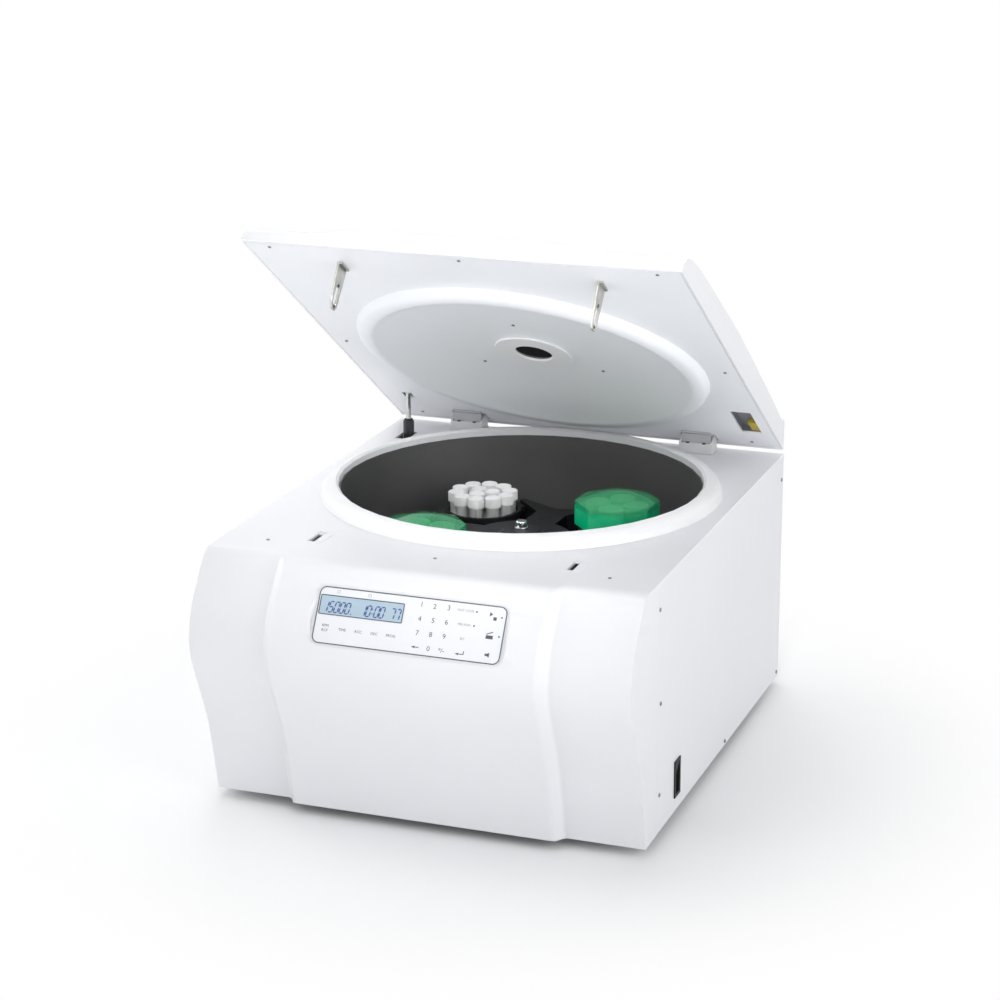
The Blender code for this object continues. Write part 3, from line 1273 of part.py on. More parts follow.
def power_switch():
    middle = switch_place()
    half = Vector((0, SWITCH_WIDTH / 2, SWITCH_LENGTH / 2))
    rim = Vector((0, SWITCH_RIM, SWITCH_RIM))
    out = Vector((SWITCH_FLANGE + GAP, 0, 0))
    flange = block("flange", middle - half + Vector((GAP, 0, 0)), middle + half + out)
    neck = half - rim - Vector((0, GAP, GAP))
    body = block("switch_body", middle - neck - Vector((SWITCH_BODY, 0, 0)), middle + neck + out / 2)
    room_half = neck - rim
    room = block("switch_room", middle - room_half - Vector((SWITCH_BODY - SWITCH_RIM, 0, 0)),
                 middle + room_half + out * 2)
    dress(cut(join(flange, body), room), "switch_bezel", "switch_black")
    axis = empty("rocker_axis", middle - Vector((ROCKER_SINK, 0, 0)), (0, ROCKER_TILT, 0))
    tall = room_half.z - 2 * GAP
    wide = room_half.y - 2 * GAP
    outline = [(ROCKER_PROUD, tall), (ROCKER_PROUD - ROCKER_ROCK, 0), (ROCKER_PROUD, -tall),
               (0, -tall - GAP / 2),
               (-ROCKER_DEPTH / 2, -tall + ROCKER_ROCK), (-ROCKER_DEPTH, 0),
               (-ROCKER_DEPTH / 2, tall - ROCKER_ROCK),
               (0, tall + GAP / 2)]
    rocker = flat("rocker", outline, 2 * wide, axis, Matrix.Rotation(math.pi / 2, 4, "X"))
    dress(rocker, "power_rocker", "switch_black")


def inlet_place():
    return Vector((HALF_WIDTH - INLET_INSET, REAR_Y, BASE_Z + INLET_HEIGHT))


def power_inlet():
    """A three-blade appliance inlet, let into the rear panel, its socket open to the back."""
    middle = inlet_place()
    half = Vector((INLET_WIDTH / 2, 0, INLET_TALL / 2))
    flange = block("inlet_flange", middle - half + Vector((0, GAP, 0)),
                   middle + half + Vector((0, INLET_FLANGE + GAP, 0)))
    neck = Vector((INLET_BODY_WIDTH / 2, 0, INLET_BODY_TALL / 2))
    deep = Vector((0, INLET_BODY_DEPTH, 0))
    body = block("inlet_body", middle - neck - deep, middle + neck + Vector((0, INLET_FLANGE, 0)))
    wall = Vector((INLET_WALL, 0, INLET_WALL))
    room = block("inlet_room", middle - neck + wall - deep + Vector((0, INLET_WALL, 0)),
                 middle + neck - wall + Vector((0, OVERRUN, 0)))
    blade_half = Vector((BLADE_WIDTH / 2, BLADE_LENGTH / 2, BLADE_TALL / 2))
    back = middle - deep + Vector((0, INLET_WALL / 2 + BLADE_LENGTH / 2, 0))
    blades = blocks("blades", [
        (back + shift - blade_half, back + shift + blade_half)
        for shift in (Vector((-BLADE_SPACING, 0, -INLET_WALL)), Vector((0, 0, INLET_WALL)),
                      Vector((BLADE_SPACING, 0, -INLET_WALL)))])
    return dress(join(cut(join(flange, body), room), blades), "power_inlet", "switch_black")


# Cooling circuit

def compressor():
    """A sealed compressor on its foot plate and rubber grommets."""
    foot_z = FLOOR_Z + COMPRESSOR_GROMMET
    low = foot_z + COMPRESSOR_FOOT_SHEET / 2
    top = BASE_Z + COMPRESSOR_HEIGHT
    radius = COMPRESSOR_RADIUS
    profile = [(0, top), (radius * 0.55, top - radius * 0.06), (radius * 0.88, top - radius * 0.3),
               (radius, top - radius * 0.6),
               (radius, low + radius * 0.3), (radius * 0.85, low), (0, low)]
    can = turned("can", profile, ROUND_STEPS, matrix=at(COMPRESSOR_X, COMPRESSOR_Y, 0))
    half = radius + COMPRESSOR_FOOT_MARGIN
    plate = block("can_foot", (COMPRESSOR_X - half, COMPRESSOR_Y - half, foot_z),
                  (COMPRESSOR_X + half, COMPRESSOR_Y + half, foot_z + COMPRESSOR_FOOT_SHEET))
    inset = half - FRAME_LEG
    spots = [(COMPRESSOR_X + x * inset, COMPRESSOR_Y + y * inset,
              FLOOR_Z + (COMPRESSOR_GROMMET + COMPRESSOR_FOOT_SHEET / 2) / 2)
             for x in (-1, 1) for y in (-1, 1)]
    grommets = rods("grommets", FRAME_LEG * 0.8, COMPRESSOR_GROMMET + COMPRESSOR_FOOT_SHEET / 2, spots)
    return dress(join(can, plate, grommets), "compressor", "compressor_black")


def condenser():
    """A finned block standing inside the rear vents."""
    pitch = CONDENSER_WIDTH / FIN_COUNT
    back = REAR_INSIDE - CONDENSER_BACK
    root = CONDENSER_DEPTH * FIN_ROOT_SHARE
    outline = [(0, 0)]
    for fin in range(FIN_COUNT):
        start = fin * pitch
        outline += [(start, CONDENSER_DEPTH), (start + pitch * FIN_SHARE, CONDENSER_DEPTH),
                    (start + pitch * FIN_SHARE, root),
                    (start + pitch, root)]
    outline[-1] = (outline[-2][0], 0)
    low = FLOOR_Z
    block_of_fins = flat("fins", outline, CONDENSER_TALL, None,
                         at(VENT_X - CONDENSER_WIDTH / 2, back - CONDENSER_DEPTH, low + CONDENSER_TALL / 2))
    return dress(block_of_fins, "condenser", "aluminium")


def fan_y():
    """The middle of the fan's frame, in front of the condenser."""
    return REAR_INSIDE - CONDENSER_BACK - CONDENSER_DEPTH - GAP * 2 - FAN_DEPTH / 2


def fan():
    half = FAN_SIZE / 2
    y = fan_y()
    z = FLOOR_Z + half
    frame = block("shroud", (VENT_X - half, y - FAN_DEPTH / 2, z - half),
                  (VENT_X + half, y + FAN_DEPTH / 2, z + half))
    cut(frame, rods("fan_bore", FAN_BORE, FAN_DEPTH * 2, [(VENT_X, y, z)], axis="Y", steps=ROUND_STEPS))
    back = y - FAN_DEPTH / 2
    reach = (half + FAN_BORE) / 2
    bar = FAN_ARM / 2
    across = block("arms", (VENT_X - reach, back, z - bar), (VENT_X + reach, back + FAN_ARM, z + bar))
    upright = block("arms_up", (VENT_X - bar, back, z - reach), (VENT_X + bar, back + FAN_ARM, z + reach))
    hub = rods("fan_motor", FAN_HUB, FAN_BACK, [(VENT_X, back + FAN_BACK / 2, z)], axis="Y",
               steps=ROUND_STEPS)
    dress(join(frame, across, upright, hub), "fan_shroud", "fan_black")
    axis = empty("fan_axis", (VENT_X, y, z))
    cup_low = -FAN_DEPTH / 2 + FAN_BACK + GAP
    cup = rods("cup", FAN_HUB, FAN_CUP, [(0, cup_low + FAN_CUP / 2, 0)], axis="Y", steps=ROUND_STEPS,
               parent=axis)
    reach = FAN_TIP - FAN_HUB / 2
    blades = bmesh.new()
    for step in range(FAN_BLADES):
        turn = Matrix.Rotation(2 * math.pi * step / FAN_BLADES, 4, "Y")
        size = Matrix.Diagonal((reach, FAN_BLADE_SHEET, FAN_BLADE_CHORD, 1))
        spot = turn @ at(FAN_TIP - reach / 2, cup_low + FAN_CUP / 2, 0) @ Matrix.Rotation(FAN_BLADE_PITCH,
                                                                                          4, "X") @ size
        bmesh.ops.create_cube(blades, size=1, matrix=spot)
    dress(join(cup, mesh_object("fan_blades", blades, axis)), "fan_impeller", "fan_black")


def pipes():
    """The copper lines between compressor, condenser and coil, each a hair short of what it meets."""
    back = REAR_INSIDE - CONDENSER_BACK - CONDENSER_DEPTH
    right = VENT_X + CONDENSER_WIDTH / 2
    high = FLOOR_Z + CONDENSER_TALL
    crown = Vector((COMPRESSOR_X, COMPRESSOR_Y, BASE_Z + COMPRESSOR_HEIGHT))
    lift = Vector((0, 0, PIPE_RADIUS * 3))
    inlet = Vector((right - CONDENSER_DEPTH, back + CONDENSER_DEPTH * FIN_ROOT_SHARE / 2, high))
    start = crown + Vector((0, 0, GAP))
    discharge = [start, start + lift, Vector((crown.x, inlet.y, start.z + lift.z)),
                 Vector((inlet.x, inlet.y, start.z + lift.z)),
                 inlet + Vector((0, 0, GAP))]
    dress(pipe("discharge", discharge, PIPE_RADIUS), "discharge_pipe", "copper")


def filter_drier():
    """The drier on the liquid line, clipped along the base in front of the condenser."""
    x = VENT_X - CONDENSER_WIDTH / 2 - DRIER_RADIUS * 3
    y = REAR_INSIDE - CONDENSER_BACK - DRIER_LENGTH / 2 - PIPE_RADIUS * 4
    z = FLOOR_Z + DRIER_RADIUS
    half = DRIER_LENGTH / 2
    can = turned("drier", [(0, half), (PIPE_RADIUS, half), (DRIER_RADIUS, half - DRIER_RADIUS),
                           (DRIER_RADIUS, DRIER_RADIUS - half),
                           (PIPE_RADIUS, -half), (0, -half)], SMALL_STEPS,
                 matrix=at(x, y, z) @ Matrix.Rotation(-math.pi / 2, 4, "X"))
    return dress(can, "filter_drier", "copper")


def drive_board():
    """The motor's drive: a board on standoffs with its heat sink and capacitors."""
    half = Vector((DRIVE_BOARD_WIDTH / 2, DRIVE_BOARD_LENGTH / 2, 0))
    middle = Vector((DRIVE_BOARD_X, DRIVE_BOARD_Y, FLOOR_Z + BOARD_STANDOFF))
    thick = Vector((0, 0, BOARD_SHEET))
    board = block("drive", middle - half, middle + half + thick)
    inset = half - Vector((PANEL_CORNER, PANEL_CORNER, 0))
    posts = rods("drive_posts", PANEL_CORNER / 3, BOARD_STANDOFF + BOARD_SHEET / 2, [
        (middle.x + x * inset.x, middle.y + y * inset.y, FLOOR_Z + (BOARD_STANDOFF + BOARD_SHEET / 2) / 2)
        for x in (-1, 1) for y in (-1, 1)])
    sink_low = middle - half * 0.9 + thick / 2
    sink = block("sink", sink_low, sink_low + Vector((half.x * 0.9, half.y * 0.7, BOARD_STANDOFF * 5)))
    cans = rods("cans", BOARD_STANDOFF * 1.6, BOARD_STANDOFF * 5, [
        (middle.x + half.x * across, middle.y + half.y * 0.4, middle.z + thick.z / 2 + BOARD_STANDOFF * 2.5)
        for across in (-0.5, 0.0, 0.5)])
    return dress(join(board, posts, sink, cans), "drive_board", "board_green")


clear_scene()
PARTS = collection("refrigerated_centrifuge")
CUTTERS = collection("cutters")
FINISHES = {
    "cabinet_white": material("cabinet_white", (0.86, 0.86, 0.88), 0.35),
    "panel_white": material("panel_white", (0.84, 0.84, 0.87), 0.4),
    "liner_white": material("liner_white", (0.82, 0.82, 0.86), 0.45),
    "collar_white": material("collar_white", (0.85, 0.85, 0.86), 0.4),
    "overlay_white": material("overlay_white", (0.78, 0.79, 0.82), 0.3),
    "display_blue": material("display_blue", (0.45, 0.58, 0.75), 0.15),
    "bowl_dark": material("bowl_dark", (0.045, 0.046, 0.044), 0.35, 0.6),
    "foam_black": material("foam_black", (0.02, 0.02, 0.02), 0.9),
    "copper": material("copper", (0.72, 0.35, 0.2), 0.3, 1.0),
    "sheet_steel": material("sheet_steel", (0.55, 0.56, 0.57), 0.4, 1.0),
    "bright_steel": material("bright_steel", (0.62, 0.62, 0.63), 0.25, 1.0),
    "chrome": material("chrome", (0.75, 0.75, 0.76), 0.12, 1.0),
    "hinge_grey": material("hinge_grey", (0.55, 0.55, 0.57), 0.4, 0.3),
    "strut_black": material("strut_black", (0.03, 0.03, 0.035), 0.4),
    "rotor_black": material("rotor_black", (0.018, 0.018, 0.02), 0.4, 0.4),
    "cap_green": material("cap_green", (0.01, 0.32, 0.16), 0.12),
    "cap_white": material("cap_white", (0.75, 0.75, 0.73), 0.5),
    "window_clear": material("window_clear", (0.08, 0.09, 0.1), 0.05),
    "rubber_black": material("rubber_black", (0.015, 0.015, 0.015), 0.8),
    "motor_grey": material("motor_grey", (0.3, 0.31, 0.32), 0.5, 0.6),
    "compressor_black": material("compressor_black", (0.02, 0.02, 0.02), 0.35),
    "aluminium": material("aluminium", (0.6, 0.61, 0.62), 0.4, 1.0),
    "switch_black": material("switch_black", (0.012, 0.012, 0.012), 0.4),
    "fan_black": material("fan_black", (0.02, 0.02, 0.02), 0.55),
    "board_green": material("board_green", (0.02, 0.12, 0.05), 0.5),
}

PLANE = panel_plane()
base_plate()
feet()
front_top_cover(PLANE)
side_panel(-1, "side_panel_left")
side_panel(1, "side_panel_right")
rear_panel()
control_panel(PLANE)
control_board(PLANE)
chamber_collar()
chamber_bowl()
insulation_jacket()
evaporator_coil()
motor_frame()
motor_housing()
shaft_boot()
rotor()
lid()
latch(-1, "left")
latch(1, "right")
gas_strut()
power_switch()
power_inlet()
compressor()
condenser()
fan()
pipes()
filter_drier()
drive_board()
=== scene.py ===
import json
import math

import bmesh
import bpy
from mathutils import Matrix, Vector


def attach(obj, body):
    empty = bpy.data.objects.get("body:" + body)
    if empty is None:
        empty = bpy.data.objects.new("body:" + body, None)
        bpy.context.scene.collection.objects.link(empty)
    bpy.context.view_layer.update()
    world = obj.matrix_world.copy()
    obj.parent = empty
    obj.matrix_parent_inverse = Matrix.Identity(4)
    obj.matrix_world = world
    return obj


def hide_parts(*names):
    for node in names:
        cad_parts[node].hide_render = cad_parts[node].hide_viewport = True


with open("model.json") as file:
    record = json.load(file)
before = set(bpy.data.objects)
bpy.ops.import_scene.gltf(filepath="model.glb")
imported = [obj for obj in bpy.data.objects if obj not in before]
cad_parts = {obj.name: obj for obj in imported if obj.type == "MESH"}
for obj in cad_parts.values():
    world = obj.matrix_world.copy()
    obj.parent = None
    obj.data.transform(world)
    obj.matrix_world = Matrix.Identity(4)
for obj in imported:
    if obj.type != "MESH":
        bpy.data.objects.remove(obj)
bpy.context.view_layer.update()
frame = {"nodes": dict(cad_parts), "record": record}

BODY_OF = {node: body for body, nodes in frame["record"]["behaviour"]["bodies"].items() for node in nodes}
SLOT_OF = {part["node"]: part["material_slot"] for part in frame["record"]["subparts"]}


# Places that the CAD model gives, in metres

SIDE_X = 0.280
TOE_Y = -0.27215
REAR_Y = 0.34785
TOP_Z = 0.332
BASE_Z = 0.012
SLOT_X = 0.167
SLOT_Y = -0.20015
HINGE_X = 0.1665
HINGE_FACE = (0.30925, 0.3463)
LID_REAR = 0.024
LID_DISH = 0.07215 - 0.32585
HOOK_DISTANCE = 0.553
BUCKET_RING = 0.137
STRUT_FOOT = (-0.240, 0.27285, 0.142)
STRUT_AXIS = Vector((0.0, 0.0093, 0.99996))


def at(x, y, z):
    return Matrix.Translation((x, y, z))


PANEL = at(0.0044, -0.32865, 0.2809) @ Matrix.Rotation(math.radians(59.9), 4, "X")
LID = at(0.0, 0.32585, 0.352) @ Matrix.Rotation(math.radians(-34.7), 4, "X")
ROTOR = at(0.0, 0.07215, 0.257) @ Matrix.Rotation(math.radians(42.0), 4, "Z")
FACING_DOWN = Matrix.Rotation(math.pi, 4, "X")


def bucket_place(number):
    """The frame of a bucket: its origin on the line of its two pins."""
    angle = math.pi / 2 * (number - 1)
    return ROTOR @ Matrix.Rotation(angle, 4, "Z") @ at(BUCKET_RING, 0, 0)


# Finishes: a socket that can be added up and multiplied, and a coat built from nodes

class Wire:
    """One output of a node; sums and products on it add Math nodes."""

    def __init__(self, coat, socket):
        self.coat = coat
        self.socket = socket

    def maths(self, operation, *values):
        return self.coat.node("ShaderNodeMath", {"operation": operation}, dict(enumerate(values)))

    def __add__(self, other):
        return self.maths("ADD", self, other)

    def __radd__(self, other):
        return self.maths("ADD", other, self)

    def __sub__(self, other):
        return self.maths("SUBTRACT", self, other)

    def __rsub__(self, other):
        return self.maths("SUBTRACT", other, self)

    def __mul__(self, other):
        return self.maths("MULTIPLY", self, other)

    def __rmul__(self, other):
        return self.maths("MULTIPLY", other, self)


class Coat:
    """A finish: a Principled surface with nodes before its sockets."""

    def __init__(self, name, colour, roughness, metallic=0.0, **constants):
        self.material = bpy.data.materials.new(name)
        self.material.use_nodes = True
        self.tree = self.material.node_tree
        self.shader = self.tree.nodes["Principled BSDF"]
        self.material.diffuse_color = (*colour, 1.0)
        self.put("Base Color", (*colour, 1.0))
        self.put("Roughness", roughness)
        self.put("Metallic", metallic)
        for socket, value in constants.items():
            self.put(socket.replace("_", " "), value)
        self.place = self.node("ShaderNodeTexCoord", output="Object")

    def put(self, socket, value):
        """Feeds a socket of the surface with a link or a value."""
        self.feed(self.shader.inputs[socket], value)

    def feed(self, target, value):
        if isinstance(value, Wire):
            self.tree.links.new(value.socket, target)
        else:
            target.default_value = value

    def node(self, kind, settings=None, inputs=None, output=0):
        """A node of that kind, its settings made first, then its inputs' values or links."""
        made = self.tree.nodes.new(kind)
        for key, value in (settings or {}).items():
            if key == "stops":
                ramp = made.color_ramp
                while len(ramp.elements) < len(value):
                    ramp.elements.new(0.5)
                for element, (spot, tone) in zip(ramp.elements, value):
                    element.position = spot
                    element.color = (*tone, 1.0)
            else:
                setattr(made, key, value)
        for key, value in (inputs or {}).items():
            self.feed(made.inputs[key], value)
        return Wire(self, made.outputs[output])

    def stretched(self, x, y, z):
        """The object's own coordinates, scaled along each axis."""
        return self.node("ShaderNodeMapping", {}, {"Vector": self.place, "Scale": (x, y, z)})

    def noise(self, scale, detail=3.0, roughness=0.55, vector=None):
        return self.node("ShaderNodeTexNoise", {}, {
            "Vector": vector or self.place, "Scale": scale, "Detail": detail, "Roughness": roughness})

    def spread(self, value, low, high):
        """A share from zero to one becomes a number between low and high."""
        return self.node("ShaderNodeMapRange", {}, {"Value": value, "To Min": low, "To Max": high})

    def band(self, value, start, end, low=0.0, high=1.0):
        """A smooth step from low to high while the value goes from start to end."""
        return self.node("ShaderNodeMapRange", {"interpolation_type": "SMOOTHSTEP"}, {
            "Value": value, "From Min": start, "From Max": end, "To Min": low, "To Max": high})

    def blend(self, share, first, second):
        """A colour between two colours."""
        def tone(value):
            return value if isinstance(value, Wire) else (*value, 1.0)
        ends = {0: share, 6: tone(first), 7: tone(second)}
        return self.node("ShaderNodeMix", {"data_type": "RGBA"}, ends, output=2)

    def bump(self, height, strength, distance):
        """Fine relief, as deep as the distance where the height is one."""
        self.put("Normal", self.node("ShaderNodeBump", {}, {
            "Height": height, "Strength": strength, "Distance": distance}))


def darker(colour, share):
    return tuple(channel * (1.0 - share) for channel in colour)


def moulded(name, colour, roughness, grain=900.0, depth=0.00004, tint=0.03, **constants):
    """Moulded or sprayed plastic: a fine grain, and tone and gloss that wander a little."""
    coat = Coat(name, colour, roughness, **constants)
    slow = coat.noise(7.0, 4.0)
    fine = coat.noise(grain, 2.0, 0.6)
    coat.put("Base Color", coat.blend(slow, darker(colour, 2.0 * tint), colour))
    coat.put("Roughness", coat.spread(slow * 0.7 + fine * 0.3, roughness - 0.07, roughness + 0.07))
    coat.bump(fine, 0.35, depth)
    return coat


def powder_coat(name, colour, roughness, peel=420.0, depth=0.00006, tint=0.03, **constants):
    """Baked powder coat: an even orange peel with softer and glossier patches."""
    coat = Coat(name, colour, roughness, **constants)
    slow = coat.noise(4.0, 3.0)
    peeled = coat.node("ShaderNodeTexVoronoi", {"feature": "SMOOTH_F1"}, {
        "Vector": coat.place, "Scale": peel, "Smoothness": 1.0})
    coat.put("Base Color", coat.blend(slow, darker(colour, 2.0 * tint), colour))
    coat.put("Roughness", coat.spread(slow * 0.6 + peeled * 0.4, roughness - 0.06, roughness + 0.08))
    coat.bump(peeled, 0.3, depth)
    return coat


def brushed(name, colour, roughness, along=(6.0, 900.0, 900.0), metallic=1.0, depth=0.00003, **constants):
    """Brushed metal: long hair lines along one axis, and darker scuffs."""
    coat = Coat(name, colour, roughness, metallic, **constants)
    lines = coat.noise(1.0, 4.0, 0.65, coat.stretched(*along))
    scuffs = coat.noise(35.0, 5.0, 0.6)
    coat.put("Base Color", coat.blend(coat.band(scuffs, 0.35, 0.65), darker(colour, 0.22), colour))
    coat.put("Roughness", coat.spread(lines * 0.7 + scuffs * 0.3, roughness - 0.08, roughness + 0.14))
    coat.bump(lines, 0.25, depth)
    return coat


def clear_plastic(name, colour, roughness, through=1.0, ior=1.46, **constants):
    """A clear or tinted moulding with faint flow marks and handling haze."""
    coat = Coat(name, colour, roughness, Transmission_Weight=through, IOR=ior, **constants)
    flow = coat.noise(60.0, 2.0)
    haze = coat.noise(240.0, 3.0)
    glossy = max(roughness - 0.03, 0.0)
    coat.put("Roughness", coat.spread(flow * 0.5 + haze * 0.5, glossy, roughness + 0.06))
    coat.bump(flow, 0.05, 0.0002)
    return coat


def clear_green():
    """A thin clear green shell, its dome given a darker green than its skirt as painted shade from the lid
    above; what faces the eye lets more through.
    """
    coat = Coat("clear green", (0.02, 0.42, 0.22), 0.06, Coat_Weight=0.6, Coat_Roughness=0.03)
    skirt_top = 0.288
    dome_foot = 0.303
    flow = coat.noise(45.0, 2.0)
    height = coat.node("ShaderNodeSeparateXYZ", {}, {"Vector": coat.place}, output="Z")
    dome = coat.band(height, skirt_top, dome_foot)
    edge = coat.node("ShaderNodeLayerWeight", {}, {"Blend": 0.35}, output="Facing")
    skirt = coat.blend(flow, (0.002, 0.80, 0.36), (0.006, 0.92, 0.44))
    # Painted shade: above dome_foot the dome gets a darker green that stands in for the shade the lid casts
    # on it.
    coat.put("Base Color", coat.blend(dome, skirt, (0.03, 0.42, 0.16)))
    coat.put("Alpha", coat.spread(edge, 0.20, 0.78) + (1.0 - dome) * 0.18)
    coat.put("Roughness", coat.spread(flow, 0.04, 0.10))
    coat.bump(flow, 0.05, 0.0002)
    return coat


FINISHES = {
    "cabinet_white": moulded("cabinet white", (0.86, 0.86, 0.885), 0.34,
                             Coat_Weight=0.12, Coat_Roughness=0.25),
    "panel_white": powder_coat("panel white", (0.85, 0.85, 0.875), 0.4),
    "liner_white": powder_coat("liner white", (0.90, 0.912, 0.945), 0.4, peel=500.0),
    "collar_white": moulded("collar white", (0.90, 0.90, 0.905), 0.36, grain=1200.0),
    "overlay_white": moulded("overlay white", (0.86, 0.87, 0.90), 0.3, grain=1500.0, depth=0.00002),
    "foam_black": moulded("foam black", (0.02, 0.02, 0.02), 0.9, grain=260.0, depth=0.0006, tint=0.2),
    "copper": brushed("drawn copper", (0.72, 0.35, 0.2), 0.3),
    "sheet_steel": brushed("zinc sheet", (0.55, 0.56, 0.57), 0.4, along=(40.0, 40.0, 40.0)),
    "bright_steel": brushed("bright steel", (0.66, 0.65, 0.61), 0.36),
    "chrome": brushed("polished chrome", (0.75, 0.75, 0.76), 0.13, depth=0.00001),
    "hinge_grey": powder_coat("hinge grey", (0.50, 0.505, 0.52), 0.42),
    "hinge_cast": powder_coat("hinge cast", (0.74, 0.745, 0.76), 0.42),
    "strut_black": powder_coat("strut black", (0.03, 0.03, 0.035), 0.36, tint=0.15),
    "rotor_black": brushed("anodised black", (0.02, 0.02, 0.022), 0.38, along=(60.0, 60.0, 1400.0),
                           metallic=0.5),
    "cap_green": clear_green(),
    "cap_white": moulded("cap white", (0.90, 0.90, 0.895), 0.42, grain=1400.0),
    "window_clear": clear_plastic("smoked window", (0.010, 0.010, 0.013), 0.05, through=0.08),
    "rubber_black": moulded("black rubber", (0.02, 0.02, 0.02), 0.75, grain=700.0, depth=0.0001, tint=0.2),
    "motor_grey": powder_coat("cast grey", (0.3, 0.31, 0.32), 0.5, peel=260.0, depth=0.0002),
    "compressor_black": powder_coat("black enamel", (0.02, 0.02, 0.02), 0.33, tint=0.15),
    "aluminium": brushed("bare aluminium", (0.6, 0.61, 0.62), 0.4),
    "switch_black": moulded("switch black", (0.010, 0.010, 0.011), 0.5, tint=0.15, Specular_IOR_Level=0.3),
    "fan_black": moulded("fan black", (0.02, 0.02, 0.02), 0.55, tint=0.15),
    "board_green": moulded("board green", (0.02, 0.12, 0.05), 0.5, tint=0.15),
}


def bowl_steel():
    """The chamber's dark steel: spun round its middle, a little brighter where it was wiped."""
    coat = Coat("spun dark steel", (0.125, 0.124, 0.122), 0.46, 0.5)
    spun = coat.noise(1.0, 3.0, 0.6, coat.stretched(4.0, 4.0, 520.0))
    wiped = coat.noise(5.0, 4.0)
    dull = (0.117, 0.116, 0.114)
    bright = (0.133, 0.132, 0.130)
    coat.put("Base Color", coat.blend(coat.band(wiped, 0.3, 0.7), dull, bright))
    coat.put("Roughness", coat.spread(spun * 0.5 + wiped * 0.5, 0.42, 0.56))
    coat.bump(spun, 0.15, 0.00003)
    return coat


def display_glass():
    """The lit back of the display: pale blue with a faint cloud in it."""
    coat = Coat("display blue", (0.40, 0.53, 0.63), 0.14, Coat_Weight=1.0, Coat_Roughness=0.05)
    cloud = coat.noise(28.0, 2.0)
    blue = coat.blend(cloud, (0.36, 0.49, 0.60), (0.44, 0.57, 0.66))
    coat.put("Base Color", blue)
    coat.put("Roughness", coat.spread(cloud, 0.1, 0.18))
    coat.put("Emission Color", blue)
    coat.put("Emission Strength", 0.02)
    return coat


FINISHES["bowl_dark"] = bowl_steel()
FINISHES["display_blue"] = display_glass()
INKS = {
    "key_ink": moulded("key ink", (0.10, 0.10, 0.115), 0.4, grain=1500.0, depth=0.00001, tint=0.1),
    "faint_ink": moulded("faint ink", (0.34, 0.34, 0.36), 0.4, grain=1500.0, depth=0.00001, tint=0.1),
    "digit_blue": moulded("digit blue", (0.045, 0.085, 0.30), 0.35, grain=1500.0, depth=0.00001, tint=0.1),
    "outline_grey": moulded("outline grey", (0.10, 0.105, 0.13), 0.35, grain=1500.0, depth=0.00001,
                            tint=0.1),
    "screw_zinc": brushed("screw zinc", (0.36, 0.36, 0.37), 0.35, along=(300.0, 300.0, 300.0)),
    "screw_dark": brushed("screw dark", (0.14, 0.14, 0.145), 0.4, along=(300.0, 300.0, 300.0)),
    "tube_clear": clear_plastic("tube plastic", (0.72, 0.73, 0.73), 0.3, through=0.45),
    "bottle_cap": moulded("bottle cap", (0.30, 0.88, 0.50), 0.4, grain=1400.0),
    "pocket_grey": moulded("pocket grey", (0.20, 0.205, 0.22), 0.5, grain=700.0, tint=0.06),
    "patch_yellow": moulded("patch yellow", (0.50, 0.39, 0.03), 0.5, grain=900.0),
    "seal_black": moulded("seal black", (0.02, 0.02, 0.02), 0.6, grain=900.0, tint=0.15),
}
FINISHES.update(INKS)


def dress_cad():
    """Each carried-over node gets the finish of its slot."""
    for node, thing in frame["nodes"].items():
        thing.data.materials.clear()
        thing.data.materials.append(FINISHES[SLOT_OF[node]].material)


# Work of the hand: select, shape and place

def alone(thing):
    """Only this object is selected."""
    bpy.ops.object.select_all(action="DESELECT")
    thing.select_set(True)
    bpy.context.view_layer.objects.active = thing


def shaded(smooth=35.0):
    """Edges flatter than this many degrees look round on the active object."""
    bpy.ops.object.shade_smooth_by_angle(angle=math.radians(smooth))


def begin(name):
    """The primitive that was just added gets its name and is opened for editing."""
    thing = bpy.context.object
    thing.name = name
    alone(thing)
    bpy.ops.object.mode_set(mode="EDIT")
    bpy.ops.mesh.select_mode(type="FACE")
    return thing


def choose(thing, test):
    """In edit mode, selects the faces whose middle and normal pass the test."""
    shape = bmesh.from_edit_mesh(thing.data)
    bpy.ops.mesh.select_all(action="DESELECT")
    for face in shape.faces:
        face.select_set(test(face.calc_center_median(), face.normal))
    bmesh.update_edit_mesh(thing.data)


def upper(middle, normal):
    """For choose: the faces that look up."""
    return normal.z > 0.9


def lower(middle, normal):
    """For choose: the faces that look down."""
    return normal.z < -0.9


def lift(rise):
    """Moves what is selected up, or down where the rise is negative."""
    bpy.ops.transform.translate(value=(0, 0, rise))


def draw_out(rise):
    """Extrudes the selected faces up, or down where the rise is negative."""
    bpy.ops.mesh.extrude_region_move(TRANSFORM_OT_translate={"value": (0, 0, rise)})


def end(thing, smooth=35.0):
    """Closes editing, with the faces pointing out and round ones smooth."""
    bpy.ops.mesh.select_all(action="SELECT")
    bpy.ops.mesh.normals_make_consistent(inside=False)
    bpy.ops.object.mode_set(mode="OBJECT")
    bpy.ops.object.transform_apply(location=True, rotation=True, scale=True)
    shaded(smooth)
    return thing


def copies(thing, spots, name):
    """The thing's shape at each place, all in one new object; the first one goes."""
    shape = bmesh.new()
    for spot in spots:
        part = thing.data.copy()
        part.transform(spot)
        if spot.determinant() < 0:
            part.flip_normals()
        shape.from_mesh(part)
        bpy.data.meshes.remove(part)
    data = bpy.data.meshes.new(name)
    shape.to_mesh(data)
    shape.free()
    bpy.data.objects.remove(thing, do_unlink=True)
    made = bpy.data.objects.new(name, data)
    bpy.context.scene.collection.objects.link(made)
    alone(made)
    shaded()
    return made


def merged(name, *things):
    """Several finished objects as one."""
    alone(things[0])
    for thing in things[1:]:
        thing.select_set(True)
    bpy.ops.object.join()
    made = bpy.context.object
    made.name = name
    return made


